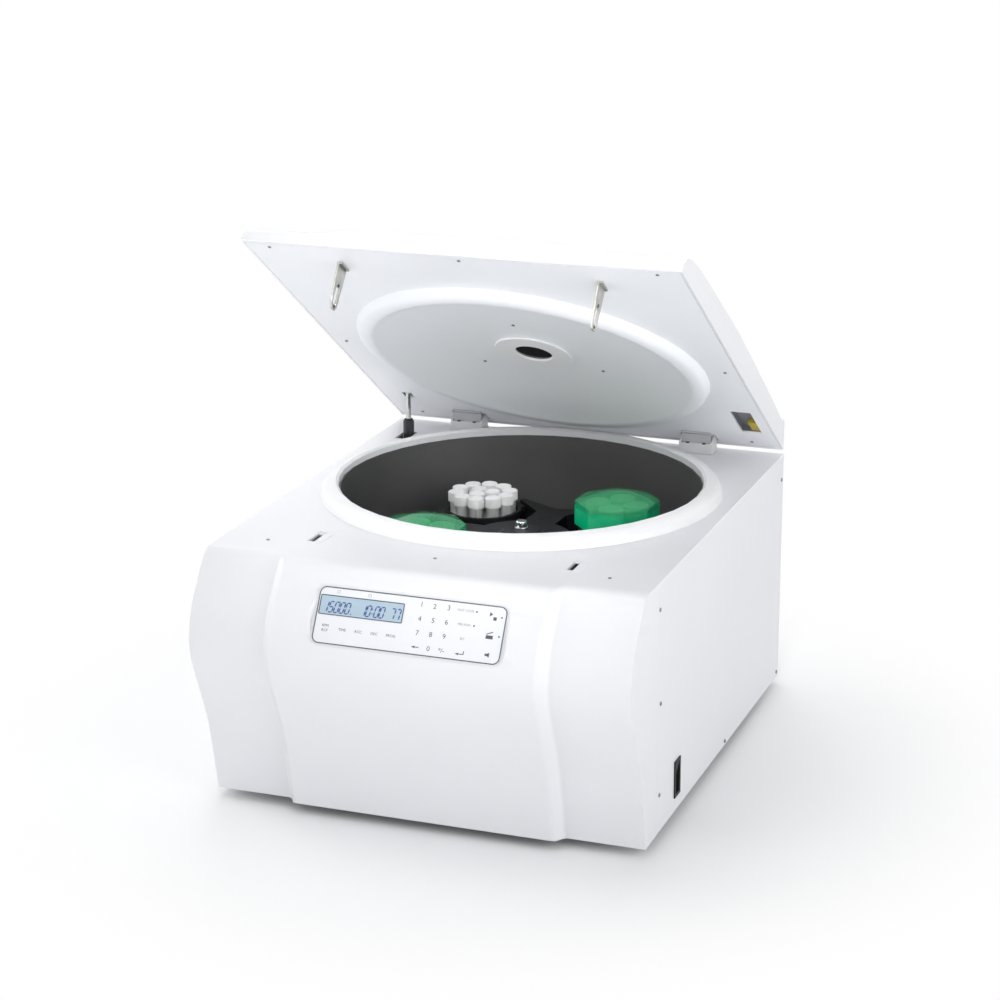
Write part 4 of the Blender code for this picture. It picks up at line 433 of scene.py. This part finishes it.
def finish(thing, body, coat):
    """The piece gets its finish and rides on its body."""
    thing.data.materials.clear()
    thing.data.materials.append(FINISHES[coat].material)
    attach(thing, body)
    return thing


def evened(thing):
    """Round faces shaded round, flat ones flat up to their edges."""
    shaded()
    step = thing.modifiers.new("Even", "WEIGHTED_NORMAL")
    step.keep_sharp = True
    bpy.ops.object.modifier_apply(modifier=step.name)


def skin(node, edge=0.0, coat=None):
    """A CAD node's shape with its triangles joined, its edges softened and its curves shaded round."""
    thing = bpy.data.objects.new(f"{node}_skin", frame["nodes"][node].data.copy())
    bpy.context.scene.collection.objects.link(thing)
    alone(thing)
    bpy.ops.object.mode_set(mode="EDIT")
    bpy.ops.mesh.select_all(action="SELECT")
    bpy.ops.mesh.remove_doubles(threshold=0.00001)
    bpy.ops.mesh.dissolve_limited(angle_limit=math.radians(0.2))
    bpy.ops.object.mode_set(mode="OBJECT")
    if edge:
        step = thing.modifiers.new("Edges", "BEVEL")
        step.width = edge
        step.segments = 2
        step.limit_method = "ANGLE"
        step.angle_limit = math.radians(40.0)
        bpy.ops.object.modifier_apply(modifier=step.name)
    evened(thing)
    finish(thing, BODY_OF[node], coat or SLOT_OF[node])
    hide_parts(node)
    return thing


def skins():
    """The curved nodes that show, and the nodes whose edges catch the light."""
    round_ones = [
        "chamber_bowl", "chamber_collar", "lid_liner", "front_top_cover", "lid_window",
        "bucket_1", "bucket_2", "bucket_3", "bucket_4", "rotor_cross", "rotor_nut", "drive_shaft",
        "shaft_boot", "strut_tube", "power_inlet", "fan_shroud", "fan_impeller", "compressor",
        "motor_housing", "foot_front_left", "foot_front_right", "foot_rear_left", "foot_rear_right"]
    for node in round_ones:
        skin(node)
    soft_edges = {
        "lid_shell": 0.0012, "lid_window_ring": 0.0009,
        "side_panel_left": 0.0005, "side_panel_right": 0.0005, "rear_panel": 0.0005,
        "hinge_leaf_left": 0.0004, "hinge_leaf_right": 0.0004,
        "latch_hook_left": 0.0004, "latch_hook_right": 0.0004,
        "bucket_cap_1": 0.0008, "bucket_cap_3": 0.0008, "switch_bezel": 0.0003, "power_rocker": 0.0003}
    for node, edge in soft_edges.items():
        skin(node, edge)
    for side in ("left", "right"):
        skin(f"hinge_bracket_{side}", 0.0005, coat="hinge_cast")


# Screws

def screw(radius, height):
    """A raised cross-head screw, its seat at zero height."""
    middle = (0, 0, height / 2)
    bpy.ops.mesh.primitive_cylinder_add(vertices=20, radius=radius, depth=height, location=middle)
    head = begin("screw")
    choose(head, upper)
    bpy.ops.mesh.inset(thickness=radius * 0.3)
    lift(height * 0.25)
    end(head)
    groove = (radius * 1.1, radius * 0.26, height)
    bpy.ops.mesh.primitive_cube_add(size=1, location=(0, 0, height * 1.1), scale=groove)
    slot = begin("screw_cross")
    bpy.ops.mesh.duplicate()
    bpy.ops.transform.rotate(value=math.pi / 2, orient_axis="Z", center_override=(0, 0, 0))
    end(slot)
    alone(head)
    step = head.modifiers.new("Cross", "BOOLEAN")
    step.object = slot
    step.use_self = True
    bpy.ops.object.modifier_apply(modifier=step.name)
    bpy.data.objects.remove(slot, do_unlink=True)
    return head


def screws(name, spots, body, radius, height):
    return finish(copies(screw(radius, height), spots, name), body, "screw_zinc")


def all_screws():
    """The screws of the cover, the two sides, the back, the lid's liner and the dish."""
    sunk = 0.0013
    behind_toe = 0.040
    row = [at(x, TOE_Y + behind_toe, TOP_Z) for x in (-0.220, 0.0, 0.220)]
    screws("cover_screws", row, "cabinet", radius=0.0022, height=0.0008)
    side_spots = [
        (0.046, 0.286), (0.053, 0.166), (0.0525, 0.049), (0.345, 0.006), (0.609, 0.008), (0.609, 0.286)]
    for side, word in ((1, "right"), (-1, "left")):
        turn = Matrix.Rotation(side * math.pi / 2, 4, "Y")
        seat = SIDE_X if side > 0 else sunk - SIDE_X
        spots = [at(seat, TOE_Y + y, BASE_Z + z) @ turn for y, z in side_spots]
        screws(f"side_screws_{word}", spots, "cabinet", radius=0.0026, height=0.0011)
    back = Matrix.Rotation(-math.pi / 2, 4, "X")
    rear_spots = [(x, z) for x in (-0.262, 0.262) for z in (0.030, 0.160, 0.305)]
    rear_spots += [(0.0, 0.305), (0.0, 0.022)]
    spots = [at(x, REAR_Y, z) @ back for x, z in rear_spots]
    screws("rear_screws", spots, "cabinet", radius=0.0028, height=0.0012)
    rim = [
        (-0.247, 0.597), (0.247, 0.597), (0.0, 0.596), (-0.260, 0.285), (0.260, 0.285), (-0.240, 0.021),
        (0.240, 0.021), (-0.182, 0.0385)]
    spots = [LID @ at(x, LID_REAR - away, 0.0) @ FACING_DOWN for x, away in rim]
    screws("lid_screws", spots, "lid", radius=0.0022, height=0.0009)
    circle = 0.095
    depth = 0.0085
    ring = []
    for turn in (-90.0, 30.0, 150.0):
        angle = math.radians(turn)
        spot = at(circle * math.cos(angle), LID_DISH + circle * math.sin(angle), depth)
        ring.append(LID @ spot @ FACING_DOWN)
    screws("dish_screws", ring, "lid", radius=0.0022, height=0.0012)


# Control panel

def on_panel(x, y, z=0.0):
    """A place on the panel: millimetres from its middle."""
    return PANEL @ at(x / 1000.0, y / 1000.0, z)


def printed(name, words, size, thick=0.00008):
    """Plain lettering in the panel's plane, made a mesh and laid at its places."""
    pieces = []
    for word, (x, y) in words.items():
        bpy.ops.object.text_add(location=(0, 0, 0))
        text = bpy.context.object
        text.data.body = word
        text.data.size = size
        text.data.align_x = "CENTER"
        text.data.align_y = "CENTER"
        text.data.extrude = thick / 2
        text.data.resolution_u = 3
        alone(text)
        bpy.ops.object.convert(target="MESH")
        text = bpy.context.object
        text.data.transform(on_panel(x, y, thick))
        pieces.append(text)
    return merged(name, *pieces)


def ring_plate(name, half_width, half_height, corner, line, thick=0.0001):
    """A thin frame with round corners, standing a little proud of the panel."""
    proud = 0.00002
    bpy.ops.mesh.primitive_plane_add(size=1, location=(0, 0, proud))
    thing = begin(name)
    bpy.ops.transform.resize(value=(2 * half_width, 2 * half_height, 1))
    bpy.ops.mesh.select_mode(type="VERT")
    bpy.ops.mesh.select_all(action="SELECT")
    bpy.ops.mesh.bevel(offset=corner, segments=6, affect="VERTICES")
    bpy.ops.mesh.select_mode(type="FACE")
    bpy.ops.mesh.select_all(action="SELECT")
    bpy.ops.mesh.inset(thickness=line)
    bpy.ops.mesh.delete(type="FACE")
    bpy.ops.mesh.select_all(action="SELECT")
    draw_out(thick)
    return end(thing)


def discs(name, spots, radius, thick):
    """Small round lights in the panel's plane."""
    bpy.ops.mesh.primitive_cylinder_add(vertices=14, radius=radius, depth=thick, location=(0, 0, thick / 2))
    thing = begin(name)
    choose(thing, upper)
    bpy.ops.mesh.inset(thickness=radius * 0.3)
    lift(thick * 0.4)
    end(thing)
    return copies(thing, [on_panel(x, y) for x, y in spots], name)


def bar(name, width, height, thick=0.0001, sides=4, turn=45.0):
    """A flat bar, or a plate with that many sides, fitted to a width and a height."""
    start = (0, 0, math.radians(turn))
    bpy.ops.mesh.primitive_cylinder_add(vertices=sides, radius=0.5, depth=1.0, rotation=start)
    thing = begin(name)
    bpy.ops.object.mode_set(mode="OBJECT")
    bpy.ops.object.transform_apply(location=True, rotation=True, scale=True)
    bpy.ops.object.mode_set(mode="EDIT")
    wide = max(vertex.co.x for vertex in bmesh.from_edit_mesh(thing.data).verts)
    tall = max(vertex.co.y for vertex in bmesh.from_edit_mesh(thing.data).verts)
    bpy.ops.mesh.select_all(action="SELECT")
    grown = (width / 2 / wide, height / 2 / tall, thick)
    bpy.ops.transform.resize(value=grown, center_override=(0, 0, 0))
    lift(thick / 2)
    return end(thing)


DIGIT_BARS = {"0": "abcdef", "1": "bc", "5": "afgcd", "7": "abc"}
BAR_PLACES = {
    "a": (0.5, 1.0, 0), "b": (1.0, 0.75, 1), "c": (1.0, 0.25, 1), "d": (0.5, 0.0, 0), "e": (0.0, 0.25, 1),
    "f": (0.0, 0.75, 1), "g": (0.5, 0.5, 0)}


def display_digits():
    """The readings in seven-bar digits that lean to the right."""
    wide = 0.0050
    tall = 0.0128
    thin = 0.0018
    left = -0.1155
    low = 0.0040
    pane = 0.106
    proud = 0.00004
    upright_length = 0.84
    level_length = 0.66
    dot_length = 0.2
    readings = (
        ("15000", 0.040, 0.0070), ("10", 0.495, 0.0066), ("00", 0.655, 0.0066), ("77", 0.845, 0.0068))
    dots = ((0.637, 0.3), (0.637, 0.7), (0.385, 0.0))
    slant = 0.18
    lean = Matrix.Identity(4)
    lean[0][1] = slant
    spots = []
    for text, share, pitch in readings:
        for place, letter in enumerate(text):
            for key in DIGIT_BARS[letter]:
                across, up, upright = BAR_PLACES[key]
                x = left + pane * share + place * pitch
                turn = Matrix.Rotation(math.pi / 2, 4, "Z") if upright else Matrix.Identity(4)
                size = Matrix.Diagonal((upright_length if upright else level_length, 1, 1, 1))
                cell = PANEL @ at(x, low, proud) @ lean
                spots.append(cell @ at(across * wide, up * tall, 0) @ turn @ size)
    for across, up in dots:
        spot = at(left + pane * across, low + up * tall, proud)
        spots.append(PANEL @ spot @ Matrix.Diagonal((dot_length, 1, 1, 1)))
    segment = bar("display_digits", tall / 2, thin, thick=0.00012, sides=6, turn=0.0)
    return finish(copies(segment, spots, "display_digits"), "cabinet", "digit_blue")


# Where the panel's print stands, in millimetres from the panel's middle

KEY_DIGITS = {
    "1": (11.9, 25.9), "2": (28.5, 25.0), "3": (46.0, 25.3), "4": (12.4, 8.6), "5": (29.2, 8.3),
    "6": (46.0, 8.2), "7": (12.2, -8.4), "8": (29.2, -8.6), "9": (46.1, -8.9), "0": (29.2, -25.4)}
KEY_WORDS = {
    "RPM": (-103.9, -12.6), "RCF": (-103.9, -18.2), "TIME": (-81.8, -15.7), "ACC": (-61.3, -15.7),
    "DEC": (-40.9, -15.7), "PROG": (-19.9, -15.7)}
FAINT_WORDS = {"FAST COOL": (67.5, 24.8), "PRE-RUN": (68.0, 8.1), "SET": (68.6, -8.8)}
SIGN_KEY = {"*/-": (45.5, -25.6)}
LIGHTS = ((81.0, 24.8), (80.4, 8.0), (112.6, 21.3), (113.0, -1.2))
ICONS = ((-94.5, 29.2), (-54.5, 28.9))
ARROWS = ((10.5, -25.0), (65.5, -26.8))
ARROW_LINES = ((14.0, -25.0), (70.0, -26.8))
DISPLAY_MIDDLE = (-62.5, 12.5)


def on_overlay(thing, coat):
    """Finishes a print of the panel."""
    return finish(thing, "cabinet", coat)


def sign(name, x, y, width, height, sides=4, turn=45.0, lean=0.0):
    """A bar or a triangle of a key's sign: its place in millimetres, its size in metres."""
    made = bar(name, width, height, sides=sides, turn=turn)
    made.data.transform(on_panel(x, y) @ Matrix.Rotation(math.radians(lean), 4, "Z"))
    return made


def key_signs():
    """Start and stop, lid, horn and the two arrows, as one print."""
    play = sign("play_mark", 98.7, 24.0, width=0.0050, height=0.0052, sides=3, turn=-90.0)
    stop = sign("stop_mark", 104.4, 19.1, width=0.0040, height=0.0040)
    lid_box = sign("lid_box", 101.2, -3.0, width=0.0088, height=0.0042)
    lid_line = sign("lid_line", 101.0, 1.8, width=0.0085, height=0.0011, lean=24.0)
    horn = sign("horn", 100.8, -23.8, width=0.0030, height=0.0026)
    cone = sign("horn_cone", 102.8, -23.8, width=0.0040, height=0.0056, sides=3, turn=90.0)
    head = bar("arrow_head", width=0.0030, height=0.0030, sides=3, turn=90.0)
    heads = copies(head, [on_panel(x, y) for x, y in ARROWS], "arrow_heads")
    line = bar("arrow_line", width=0.0062, height=0.0010)
    lines = copies(line, [on_panel(x, y) for x, y in ARROW_LINES], "arrow_lines")
    hook = sign("enter_line", 73.1, -25.0, width=0.0010, height=0.0046)
    return merged("key_marks", play, stop, lid_box, lid_line, horn, cone, heads, lines, hook)


def icon(x, y):
    """A small empty frame above the display."""
    made = ring_plate("icon", half_width=0.0019, half_height=0.0017, corner=0.0006, line=0.0004,
                      thick=0.00008)
    made.data.transform(on_panel(x, y))
    return made


def control_panel():
    """All that is printed on the overlay, and the display's frame and digits."""
    outline = ring_plate("panel_outline", half_width=0.1186, half_height=0.0346, corner=0.0088, line=0.0014)
    outline.data.transform(PANEL)
    on_overlay(outline, "outline_grey")
    frame_ring = ring_plate("display_frame", half_width=0.0536, half_height=0.0121, corner=0.0020,
                            line=0.0012, thick=0.00025)
    frame_ring.data.transform(on_panel(*DISPLAY_MIDDLE))
    on_overlay(frame_ring, "outline_grey")
    display_digits()
    on_overlay(printed("key_digits", KEY_DIGITS, size=0.0085), "key_ink")
    on_overlay(printed("key_words", KEY_WORDS, size=0.0046), "key_ink")
    on_overlay(printed("faint_words", FAINT_WORDS, size=0.0040), "faint_ink")
    on_overlay(printed("sign_key", SIGN_KEY, size=0.0075), "key_ink")
    on_overlay(discs("panel_lights", LIGHTS, radius=0.0011, thick=0.00025), "outline_grey")
    on_overlay(key_signs(), "key_ink")
    on_overlay(merged("small_icons", *[icon(x, y) for x, y in ICONS]), "faint_ink")


# Tubes and bottles in the buckets

TUBE_RINGS = ((3, 0.0130), (10, 0.0362))
TUBE_RADIUS = 0.0083
CAP_FOOT = 0.0225
BOTTLE_STEP = 0.0182
BOTTLE_TURN = {1: 3.0, 3: 40.0}


def on_circle(count, radius):
    """Places evenly round a circle, the first one on the X axis."""
    turns = [2 * math.pi * step / count for step in range(count)]
    return [(radius * math.cos(turn), radius * math.sin(turn)) for turn in turns]


def tube_cap(radius, height, ribs):
    """A screw cap with ribs round its side and a rounded rim, its foot at zero height."""
    middle = (0, 0, height / 2)
    bpy.ops.mesh.primitive_cylinder_add(vertices=ribs * 2, radius=radius, depth=height, location=middle)
    cap = begin("cap")
    choose(cap, upper)
    bpy.ops.mesh.inset(thickness=radius * 0.09)
    lift(radius * 0.08)
    bpy.ops.mesh.inset(thickness=radius * 0.12)
    bpy.ops.mesh.inset(thickness=radius * 0.06)
    lift(-radius * 0.05)
    step = math.pi / ribs

    def rib(middle, normal):
        """Every second face of the side."""
        turn = math.atan2(middle.y, middle.x) % (2 * math.pi)
        on_side = abs(normal.z) < 0.2 and math.hypot(middle.x, middle.y) > radius * 0.95
        return on_side and int(turn / step) % 2 == 0
    choose(cap, rib)
    bpy.ops.mesh.inset(thickness=radius * 0.01, depth=-radius * 0.045, use_individual=True)
    return end(cap, 30.0)


def tube_body(radius, top, length):
    """An open tube with a cone at its foot, from its top down."""
    middle = (0, 0, top - length / 2)
    bpy.ops.mesh.primitive_cylinder_add(vertices=20, radius=radius, depth=length, location=middle)
    tube = begin("tube")
    choose(tube, lower)
    draw_out(-radius * 2.4)
    bpy.ops.transform.resize(value=(0.25, 0.25, 1))
    choose(tube, upper)
    bpy.ops.mesh.inset(thickness=radius * 0.12)
    draw_out(-length)
    return end(tube)


def hole_cutter():
    """What cuts a tube's hole in the rack's top."""
    bpy.ops.mesh.primitive_cylinder_add(vertices=20, radius=0.0088, depth=0.080, location=(0, 0, -0.030))
    return end(begin("hole"))


def rack_of_tubes(number, body):
    """Thirteen capped tubes standing in a round rack."""
    radius = 0.0455
    deck = 0.004
    depth = 0.070
    taper = 0.78
    spots = [spot for count, ring in TUBE_RINGS for spot in on_circle(count, ring)]
    stand = bucket_place(number)
    seats = [stand @ at(x, y, CAP_FOOT) @ Matrix.Rotation(x * 90.0, 4, "Z") for x, y in spots]
    caps = copies(tube_cap(radius=0.0108, height=0.0118, ribs=30), seats, f"tube_caps_{number}")
    finish(caps, body, "cap_white")
    tube = tube_body(radius=TUBE_RADIUS, top=CAP_FOOT + 0.003, length=0.070)
    tubes = copies(tube, [stand @ at(x, y, 0) for x, y in spots], f"tube_bodies_{number}")
    finish(tubes, body, "tube_clear")
    bpy.ops.mesh.primitive_cylinder_add(vertices=48, radius=radius, depth=deck, location=(0, 0, deck / 2))
    rack = begin(f"rack_{number}")
    choose(rack, upper)
    bpy.ops.mesh.inset(thickness=0.0015)
    lift(0.0008)
    choose(rack, lower)
    bpy.ops.mesh.inset(thickness=0.003)
    draw_out(-depth)
    bpy.ops.transform.resize(value=(taper, taper, 1))
    end(rack)
    holes = copies(hole_cutter(), [at(x, y, 0) for x, y in spots], "holes")
    alone(rack)
    step = rack.modifiers.new("Holes", "BOOLEAN")
    step.object = holes
    bpy.ops.object.modifier_apply(modifier=step.name)
    bpy.data.objects.remove(holes, do_unlink=True)
    shaded()
    rack.data.transform(stand)
    finish(rack, body, "tube_clear")
    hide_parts(f"tube_rack_{number}")


def bottles(number, body):
    """Four wide tubes that show through the green cap."""
    stand = bucket_place(number) @ Matrix.Rotation(math.radians(BOTTLE_TURN[number]), 4, "Z")
    spots = [(x * BOTTLE_STEP, y * BOTTLE_STEP) for x in (-1, 1) for y in (-1, 1)]
    cap_foot = 0.0245
    seats = [stand @ at(x, y, cap_foot) for x, y in spots]
    caps = copies(tube_cap(radius=0.0172, height=0.0150, ribs=36), seats, f"bottle_caps_{number}")
    finish(caps, body, "bottle_cap")
    tube = tube_body(radius=0.0145, top=0.026, length=0.075)
    tubes = copies(tube, [stand @ at(x, y, 0) for x, y in spots], f"bottle_tubes_{number}")
    finish(tubes, body, "bottle_cap")


def tube_scale():
    """A printed scale on the tube that faces the front right."""
    stand = bucket_place(2)
    angle = math.radians(-72.0)
    facing = Vector((math.cos(angle), math.sin(angle), 0.0))
    foremost = max(on_circle(*TUBE_RINGS[1]), key=lambda spot: (stand @ Vector((*spot, 0.0))).dot(facing))
    centre = stand @ Vector((*foremost, 0.0))
    bpy.ops.mesh.primitive_cube_add(size=1, scale=(0.0001, 0.0034, 0.0005))
    mark = begin("tube_scale")
    bpy.ops.mesh.bevel(offset=0.00004, segments=1)
    end(mark)
    top = 0.0195
    pitch = 0.0022
    turn = Matrix.Rotation(angle, 4, "Z") @ at(TUBE_RADIUS + 0.00005, 0, 0)
    spots = []
    for line in range(7):
        width = 1.0 if line % 3 == 0 else 0.6
        height = centre.z + top - line * pitch
        spots.append(at(centre.x, centre.y, height) @ turn @ Matrix.Diagonal((1, width, 1, 1)))
    finish(copies(mark, spots, "tube_scale"), "bucket_two", "key_ink")


# Hardware on the lid, the hinges, the strut and the latches

def hinge_screws():
    """Two dark screws on the front wall of each hinge."""
    apart = 0.0115
    spots = [at(side * HINGE_X + x, *HINGE_FACE) for side in (-1, 1) for x in (-apart, apart)]
    made = copies(screw(radius=0.0026, height=0.0009), spots, "hinge_screws")
    finish(made, "cabinet", "screw_dark")


def hook_pins():
    """Dark pins through each hook, at the head of its window and at its tip."""
    across = (0, math.pi / 2, 0)
    bpy.ops.mesh.primitive_cylinder_add(vertices=16, radius=0.0019, depth=0.0042, rotation=across)
    pin = begin("hook_pins")
    for way in (-1, 1):
        choose(pin, lambda middle, normal: normal.z * way > 0.9 or normal.x * way > 0.9)
        bpy.ops.mesh.inset(thickness=0.0004)
    end(pin)
    away = LID_REAR - HOOK_DISTANCE
    heights = (-0.0268, -0.0540)
    spots = [LID @ at(side * SLOT_X, away, height) for side in (-1, 1) for height in heights]
    finish(copies(pin, spots, "hook_pins"), "lid", "screw_dark")


def block(name, middle, size, rim, rise, down=False):
    """A box whose top or bottom face has a rim and stands out or in a little."""
    bpy.ops.mesh.primitive_cube_add(size=1, location=middle, scale=size)
    made = begin(name)
    choose(made, lower if down else upper)
    bpy.ops.mesh.inset(thickness=rim)
    lift(rise)
    return end(made)


def pocket_tray():
    """A grey tray in the liner's right pocket, with a small yellow patch in its corner."""
    middle = (0.248, -0.074, 0.0075)
    bpy.ops.mesh.primitive_cube_add(size=1, location=middle, scale=(0.0310, 0.0830, 0.0090))
    tray = begin("pocket_tray")
    choose(tray, lower)
    bpy.ops.mesh.inset(thickness=0.0014)
    draw_out(0.0075)
    end(tray)
    tray.data.transform(LID)
    finish(tray, "lid", "pocket_grey")
    corner = (0.2535, -0.0490, 0.0070)
    size = (0.0125, 0.0300, 0.0060)
    patch = block("pocket_patch", corner, size, rim=0.0008, rise=-0.0002, down=True)
    patch.data.transform(LID)
    finish(patch, "lid", "patch_yellow")


def latch_bezels():
    """A low frame round each latch slot, and two fillings in it that leave the hook its way."""
    off_centre = 0.0030
    rings = []
    for side in (-1, 1):
        ring = ring_plate("latch_ring", half_width=0.0108, half_height=0.0215, corner=0.0030, line=0.0012,
                          thick=0.0005)
        ring.data.transform(at(side * SLOT_X + off_centre, SLOT_Y, TOP_Z))
        rings.append(ring)
    finish(merged("latch_rings", *rings), "cabinet", "cabinet_white")
    spots = [at(side * SLOT_X, SLOT_Y, TOP_Z) for side in (-1, 1)]
    fillings = {
        "latch_shelves": ((0.0036, 0, -0.0013), (0.0028, 0.0368, 0.0016)),
        "slot_ends": ((-0.0014, 0.0146, -0.0013), (0.0068, 0.0074, 0.0016))}
    for name, (middle, size) in fillings.items():
        filling = copies(block(name, middle, size, rim=0.0004, rise=0.0002), spots, name)
        finish(filling, "cabinet", "cabinet_white")


def grow(steps):
    """Draws the chosen face up a rod: each step is a rise and how many times wider its end is."""
    for rise, ratio in steps:
        draw_out(rise)
        if ratio != 1.0:
            bpy.ops.transform.resize(value=(ratio, ratio, 1), center_override=(0, 0, 0))


def strut_rod():
    """The strut's polished rod with its collar, the socket on the lid's ball, and the tube's seal."""
    rod_middle = (0, 0, 0.2115)
    socket_middle = (0, 0, 0.2560)
    seal_middle = (0, 0, 0.2100)
    bpy.ops.mesh.primitive_cylinder_add(vertices=24, radius=0.0036, depth=0.075, location=rod_middle)
    rod = begin("strut_piston_rod")
    choose(rod, upper)
    grow([(0.0, 1.5), (0.0010, 1.1), (0.0014, 1.0)])
    end(rod, 30.0)
    across = (0, math.pi / 2, 0)
    bpy.ops.mesh.primitive_cylinder_add(
        vertices=24, radius=0.0062, depth=0.0110, rotation=across, location=socket_middle)
    socket = begin("strut_socket")
    for way in (-1, 1):
        choose(socket, lambda middle, normal: normal.z * way > 0.9 or normal.x * way > 0.9)
        bpy.ops.mesh.inset(thickness=0.0012)
        bpy.ops.mesh.inset(thickness=0.0010)
    end(socket, 30.0)
    whole = merged("strut_piston_rod", rod, socket)
    place = at(*STRUT_FOOT) @ STRUT_AXIS.to_track_quat("Z", "Y").to_matrix().to_4x4()
    whole.data.transform(place)
    finish(whole, "strut_piston", "chrome")
    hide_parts("strut_rod")
    bpy.ops.mesh.primitive_cylinder_add(vertices=28, radius=0.0058, depth=0.0026, location=seal_middle)
    seal = begin("strut_seal")
    choose(seal, upper)
    bpy.ops.mesh.inset(thickness=0.0012)
    lift(0.0003)
    end(seal)
    seal.data.transform(place)
    finish(seal, "strut_cylinder", "seal_black")


# Stage, light and camera

def stage_floor():
    """A white floor that keeps the shadow near the object and fades into the white ground behind it."""
    bpy.ops.mesh.primitive_plane_add(size=40.0, location=(0, 0, 0))
    floor = begin("floor")
    end(floor)
    coat = Coat("floor white", (0.97, 0.97, 0.972), 0.8)
    seen = coat.node("ShaderNodeLightPath", output="Is Camera Ray")
    glossy = coat.node("ShaderNodeLightPath", output="Is Glossy Ray")
    through = coat.node("ShaderNodeLightPath", output="Is Transmission Ray")
    length = coat.node("ShaderNodeVectorMath", {"operation": "LENGTH"}, {0: coat.place}, output="Value")
    far = coat.band(length, 0.30, 0.75)
    rays = seen.maths("MAXIMUM", seen, glossy.maths("MAXIMUM", glossy, through))
    white = coat.node("ShaderNodeEmission", {}, {"Color": (1, 1, 1, 1), "Strength": 1.0})
    painted = Wire(coat, coat.shader.outputs[0])
    surface = coat.node("ShaderNodeMixShader", {}, {0: rays * far, 1: painted, 2: white})
    out = coat.tree.nodes["Material Output"]
    coat.tree.links.new(surface.socket, out.inputs["Surface"])
    floor.data.materials.append(coat.material)


def sky(strength):
    """White behind everything, and soft even light from all round."""
    world = bpy.data.worlds.new("studio")
    bpy.context.scene.world = world
    world.use_nodes = True
    tree = world.node_tree
    light = tree.nodes["Background"]
    light.inputs["Color"].default_value = (0.955, 0.975, 1.0, 1.0)
    light.inputs["Strength"].default_value = strength
    white = tree.nodes.new("ShaderNodeBackground")
    white.inputs["Color"].default_value = (1.0, 1.0, 1.0, 1.0)
    white.inputs["Strength"].default_value = 1.0
    rays = tree.nodes.new("ShaderNodeLightPath")

    def larger(first, second):
        made = tree.nodes.new("ShaderNodeMath")
        made.operation = "MAXIMUM"
        tree.links.new(first, made.inputs[0])
        tree.links.new(second, made.inputs[1])
        return made.outputs[0]
    mirrored = larger(rays.outputs["Is Glossy Ray"], rays.outputs["Is Transmission Ray"])
    mix = tree.nodes.new("ShaderNodeMixShader")
    tree.links.new(larger(rays.outputs["Is Camera Ray"], mirrored), mix.inputs[0])
    tree.links.new(light.outputs[0], mix.inputs[1])
    tree.links.new(white.outputs[0], mix.inputs[2])
    tree.links.new(mix.outputs[0], tree.nodes["World Output"].inputs["Surface"])


def lamp(name, spot, target, size, watts, spread=180.0):
    """A round soft lamp that looks at the target."""
    data = bpy.data.lights.new(name, "AREA")
    data.spread = math.radians(spread)
    data.shape = "DISK"
    data.size = size
    data.energy = watts
    made = bpy.data.objects.new(name, data)
    bpy.context.scene.collection.objects.link(made)
    made.location = spot
    made.rotation_euler = (Vector(target) - Vector(spot)).to_track_quat("-Z", "Y").to_euler()


def camera():
    """The photograph's own view."""
    place = at(1.12507, -3.04214, 1.33339)
    pan, tilt, roll = (math.radians(turn) for turn in (20.438, 72.912, -0.298))
    data = bpy.data.cameras.new("camera")
    data.sensor_width = 36.0
    data.lens = 95.769
    data.shift_x = 0.004366
    data.shift_y = 0.001522
    data.clip_end = 100.0
    made = bpy.data.objects.new("camera", data)
    bpy.context.scene.collection.objects.link(made)
    turn = Matrix.Rotation(pan, 4, "Z") @ Matrix.Rotation(tilt, 4, "X") @ Matrix.Rotation(roll, 4, "Z")
    made.matrix_world = place @ turn
    bpy.context.scene.camera = made


# The whole: the object first, then what stands round it

dress_cad()
skins()
all_screws()
hinge_screws()
hook_pins()
pocket_tray()
latch_bezels()
strut_rod()
tube_scale()
control_panel()
rack_of_tubes(2, "bucket_two")
rack_of_tubes(4, "bucket_four")
bottles(1, "bucket_one")
bottles(3, "bucket_three")

stage_floor()
sky(strength=0.455)
MIDDLE = (0.0, 0.0, 0.3)
lamp("left", (-2.8, 0.2, 1.6), MIDDLE, size=2.0, watts=24.0)
lamp("low_left", (-2.2, -1.6, 0.5), (0.0, 0.0, 0.45), size=1.4, watts=11.0)
lamp("right", (2.4, -1.2, 1.2), (0.0, 0.0, 0.25), size=2.0, watts=26.0)
lamp("overhead", (-0.4, 0.3, 2.8), (0.0, 0.1, 0.3), size=2.0, watts=13.5)
lamp("back", (-1.0, 2.4, 2.4), MIDDLE, size=2.0, watts=16.0)
lamp("key", (-1.5, -2.5, 2.1), MIDDLE, size=1.8, watts=3.0)
lamp("bowl", (0.35, -1.7, 2.0), (0.0, 0.2, 0.28), size=0.6, watts=0.38, spread=14.0)
lamp("under_lid", (0.5, -2.2, 0.2), (0.0, 0.12, 0.56), size=0.8, watts=0.8, spread=30.0)
camera()
bpy.context.scene.view_settings.view_transform = "Standard"
